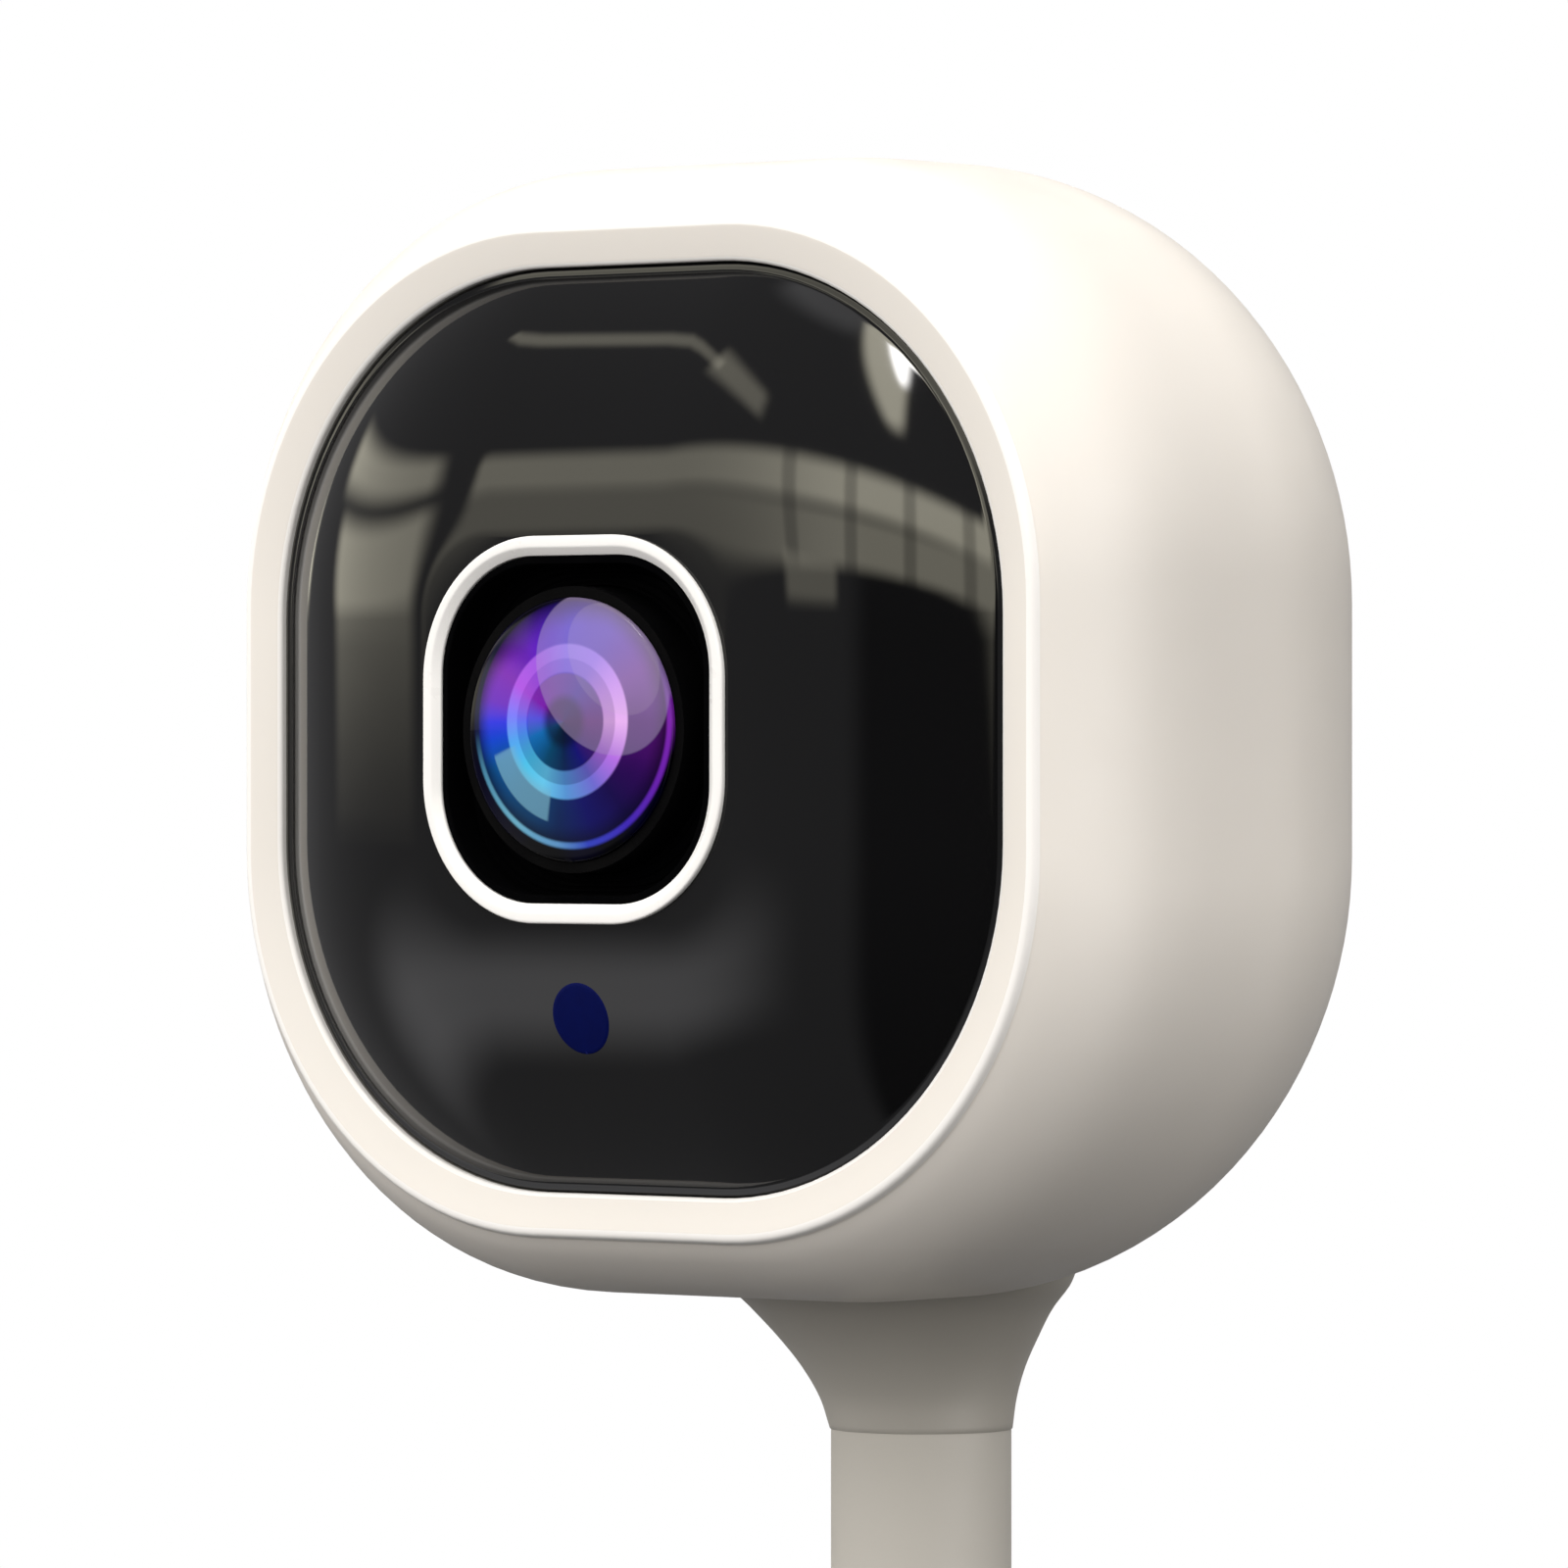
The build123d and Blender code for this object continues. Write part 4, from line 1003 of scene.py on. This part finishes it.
# Height, half width and half depth.
RELIEF_ROWS = (
    (24.0, 6.2, 3.8),
    (27.0, 5.5, 4.3),
    (30.0, 5.1, 4.6),
    (36.0, 4.8, 4.8),
)
RELIEF_ROUND = 0.3


def relief_boot():
    """Strain relief with soft grooves that let it bend."""
    grooves, groove_pitch, first_groove = 4, 2.3, 26.8
    groove_half, groove_depth = 0.42, 0.45
    bottom, top = RELIEF_ROWS[0], RELIEF_ROWS[-1]
    round_start = top[0] - RELIEF_ROUND
    rings = []
    for height in steps(bottom[0], round_start, 110):
        i = 0
        while i < len(RELIEF_ROWS) - 2 and height > RELIEF_ROWS[i + 1][0]:
            i += 1
        low, high = RELIEF_ROWS[i], RELIEF_ROWS[i + 1]
        share = (height - low[0]) / (high[0] - low[0])
        half_x, half_y = (a + (b - a) * share for a, b in zip(low[1:], high[1:]))
        nearest = min(abs(height - first_groove - k * groove_pitch) for k in range(grooves))
        cut = groove_depth * max(0.0, 1 - (nearest / groove_half) ** 2) ** 0.5
        rings.append(level_ring(height, half_x - cut, half_y - cut))
    for angle in steps(0, 90, 4):
        inset = RELIEF_ROUND * (1 - math.cos(math.radians(angle)))
        height = round_start + RELIEF_ROUND * math.sin(math.radians(angle))
        rings.append(level_ring(height, top[1] - inset, top[2] - inset))
    rings.append(level_ring(top[0], SLEEVE_BORE, SLEEVE_BORE))
    rings.append(level_ring(bottom[0], SLEEVE_BORE, SLEEVE_BORE))
    piece = loft("relief_boot", rings, plug_white, wrap=True, smooth_angle=50)
    finish_piece(piece, "plug", ["strain_relief"])


housing_shell()
domed_panel()
rim_ring()
baffle_plate()
lens_dome()
dot_window()
flare_skirt()
neck_shadow_filler()
hose_skins()
plug_grip()
relief_boot()

# ---------------------------------------------------------------- stage and lights

FLOOR_RADIUS = 0.9
FLOOR_STEPS = 96


def floor_disc():
    """Plain pale floor under the plug's end."""
    level = cad_low.z - 0.0005
    vertices = [(0, 0, level)]
    for i in range(FLOOR_STEPS):
        angle = 2 * math.pi * i / FLOOR_STEPS
        vertices.append((FLOOR_RADIUS * math.cos(angle), FLOOR_RADIUS * math.sin(angle), level))
    faces = [(0, 1 + i, 1 + (i + 1) % FLOOR_STEPS) for i in range(FLOOR_STEPS)]
    mesh = bpy.data.meshes.new("floor")
    mesh.from_pydata(vertices, [], faces)
    material, nodes, shader = new_material("floor_pale")
    speck = nodes.noise(nodes.place(), 30.0)
    nodes.link(nodes.mix(speck, tint(226, 225, 222), tint(236, 235, 232)), shader.inputs["Base Color"])
    shader.inputs["Roughness"].default_value = 0.9
    shader.inputs["Specular IOR Level"].default_value = 0.0
    mesh.materials.append(material)
    floor = bpy.data.objects.new("floor", mesh)
    bpy.context.scene.collection.objects.link(floor)
    floor.visible_glossy = False
    floor.visible_diffuse = False


def soft_light(name, offset, size, power, colour):
    """Square area light at an offset in metres from the head's centre, turned to face it."""
    data = bpy.data.lights.new(name, "AREA")
    data.shape = "RECTANGLE"
    data.size = size
    data.size_y = size
    data.energy = power
    data.color = colour
    light = bpy.data.objects.new(name, data)
    bpy.context.scene.collection.objects.link(light)
    light.location = (offset[0], offset[1], offset[2] + HEAD_Z * MM)
    aim = -light.location.copy()
    aim.z += HEAD_Z * MM
    light.rotation_mode = "QUATERNION"
    light.rotation_quaternion = aim.to_track_quat("-Z", "Y")
    light.visible_camera = False
    light.visible_glossy = False


def studio_world():
    """Studio room: plain white to the camera, soft top light for shading, a dim room for gloss."""
    world = bpy.data.worlds.new("studio")
    bpy.context.scene.world = world
    world.use_nodes = True
    nodes = Nodes(world.node_tree)
    output = nodes.add("ShaderNodeOutputWorld")
    path = nodes.add("ShaderNodeLightPath")
    split = nodes.add("ShaderNodeSeparateXYZ")
    nodes.link(nodes.add("ShaderNodeTexCoord").outputs["Generated"], split.inputs[0])
    x, y, z = split.outputs

    seen = nodes.add("ShaderNodeBackground")
    seen.inputs["Color"].default_value = (1, 1, 1, 1)

    soft = nodes.add("ShaderNodeBackground")
    soft.inputs["Color"].default_value = (1.0, 0.975, 0.955, 1)
    above = nodes.between(z, -0.2, 0.2, 0.07, 1.4)
    front = nodes.maths("MULTIPLY_ADD", y, -0.6, 1.0)
    nodes.link(nodes.maths("MULTIPLY", above, front), soft.inputs["Strength"])

    degrees = 180 / math.pi
    turn = nodes.maths("MULTIPLY", nodes.maths("ARCTAN2", x, nodes.maths("MULTIPLY", y, -1.0)), degrees)
    rise = nodes.maths("MULTIPLY", nodes.maths("ARCSINE", z), degrees)

    def card(turn_low, turn_high, rise_low, rise_high, power, soft_turn, soft_rise,
             bow=0.0, bow_at=0.0, lean=0.0):
        """A soft-edged bright area; bow lowers it away from its highest place, lean tilts its sides."""
        height = rise
        across = turn
        if bow:
            away = nodes.maths("SUBTRACT", turn, bow_at)
            height = nodes.maths("MULTIPLY_ADD", nodes.maths("MULTIPLY", away, away), bow, rise)
        if lean:
            across = nodes.maths("MULTIPLY_ADD", rise, lean, turn)
        parts = (
            nodes.between(across, turn_low - soft_turn, turn_low + soft_turn),
            nodes.between(across, turn_high - soft_turn, turn_high + soft_turn, 1.0, 0.0),
            nodes.between(height, rise_low - soft_rise, rise_low + soft_rise),
            nodes.between(height, rise_high - soft_rise, rise_high + soft_rise, 1.0, 0.0),
        )
        result = power
        for part in parts:
            result = nodes.maths("MULTIPLY", part, result)
        return result

    def together(colour, powers):
        total = powers[0]
        for power in powers[1:]:
            total = nodes.maths("ADD", total, power)
        background = nodes.add("ShaderNodeBackground")
        background.inputs["Color"].default_value = colour
        nodes.link(total, background.inputs["Strength"])
        return background.outputs[0]

    # The long window: brighter to the right, with a bar across it and upright bars.
    nearer = nodes.between(turn, -43, 6, 1.0, 2.6)
    wave = nodes.maths("SINE", nodes.maths("MULTIPLY", nodes.maths("ADD", turn, 2.75), 2 * math.pi / 17))
    bars = nodes.between(wave, 0.6, 0.97, 1.0, 0.6)
    bars = nodes.maths("MAXIMUM", bars, nodes.between(turn, -28, -20, 1.0, 0.0))
    nearer = nodes.maths("MULTIPLY", nearer, bars)
    long_window = nodes.maths("ADD", card(-42, 46, 19.4, 27.9, 2.2, 1.0, 2.3, 0.0048, 0.0, 0.15),
                              card(-42, 44, 8.8, 18.2, 1.15, 1.0, 1.9, 0.0043, 0.0, 0.15))
    long_window = nodes.maths("MULTIPLY", long_window, nearer)
    lamp_side = nodes.between(turn, 14.0, 18.5, 1.0, 0.0)
    lamp_veil = card(45, 90, 39, 69, 7.0, 3.0, 3.0, 0.0, 0.0, 0.85)
    tall_lamp = card(56.4, 90, 50, 72, 28.0, 1.6, 2.0, 0.0, 0.0, 0.85)
    warm = together((1.0, 0.95, 0.76, 1), (
        long_window,
        card(-18, -3, 2.8, 9, 1.5, 1.5, 1.5),                           # one pane reaches lower
        card(-81, -45.5, 1.2, 10.2, 2.8, 3.0, 1.9, 0.0, 0.0, 0.45),     # side window
        card(-84, -45.5, 13.1, 18.4, 2.5, 3.0, 1.9, 0.0, 0.0, 0.45),   # and its top pane
        nodes.maths("MULTIPLY", lamp_veil, lamp_side),
        card(-118, -102, 2.5, 15, 3.0, 1.5, 2.0),                       # the next window
        card(-64.5, -42, 41.3, 43.2, 1.6, 1.0, 0.8, 0.0062, -60),       # ceiling strip
        card(-45, -25, 39.8, 45.2, 1.9, 2.0, 1.8, 0.0062, -60),         # and its near end
    ))
    dark_wall = nodes.maths("MAXIMUM", nodes.between(turn, -2, 8, 1.0, 0.12), nodes.between(rise, 15, 25))
    plain = together((1.0, 0.99, 1.01, 1), (
        nodes.maths("MULTIPLY", nodes.between(turn, -110, -60, 0.24, 0.22), dark_wall),
        nodes.maths("MULTIPLY", tall_lamp, lamp_side),
        card(-58, -8, 60, 80, 0.7, 8.0, 3.0),                           # lit ceiling beside it
        card(-72, -25, -25, -6.5, 0.86, 14.0, 7.0, 0.006, -35),                     # floor glow
        card(68, 112, -35, 35, 2.6, 10.0, 10.0),                        # bright wall to the right
    ))
    room = nodes.add("ShaderNodeAddShader")
    nodes.link(warm, room.inputs[0])
    nodes.link(plain, room.inputs[1])

    choose_room = nodes.add("ShaderNodeMixShader")
    nodes.link(path.outputs["Is Glossy Ray"], choose_room.inputs[0])
    nodes.link(soft.outputs[0], choose_room.inputs[1])
    nodes.link(room.outputs[0], choose_room.inputs[2])
    choose_seen = nodes.add("ShaderNodeMixShader")
    nodes.link(path.outputs["Is Camera Ray"], choose_seen.inputs[0])
    nodes.link(choose_room.outputs[0], choose_seen.inputs[1])
    nodes.link(seen.outputs[0], choose_seen.inputs[2])
    nodes.link(choose_seen.outputs[0], output.inputs["Surface"])


floor_disc()
studio_world()
soft_light("top_light", (0.05, -0.3, 0.9), 0.5, 1.5, (1.0, 0.985, 0.96))
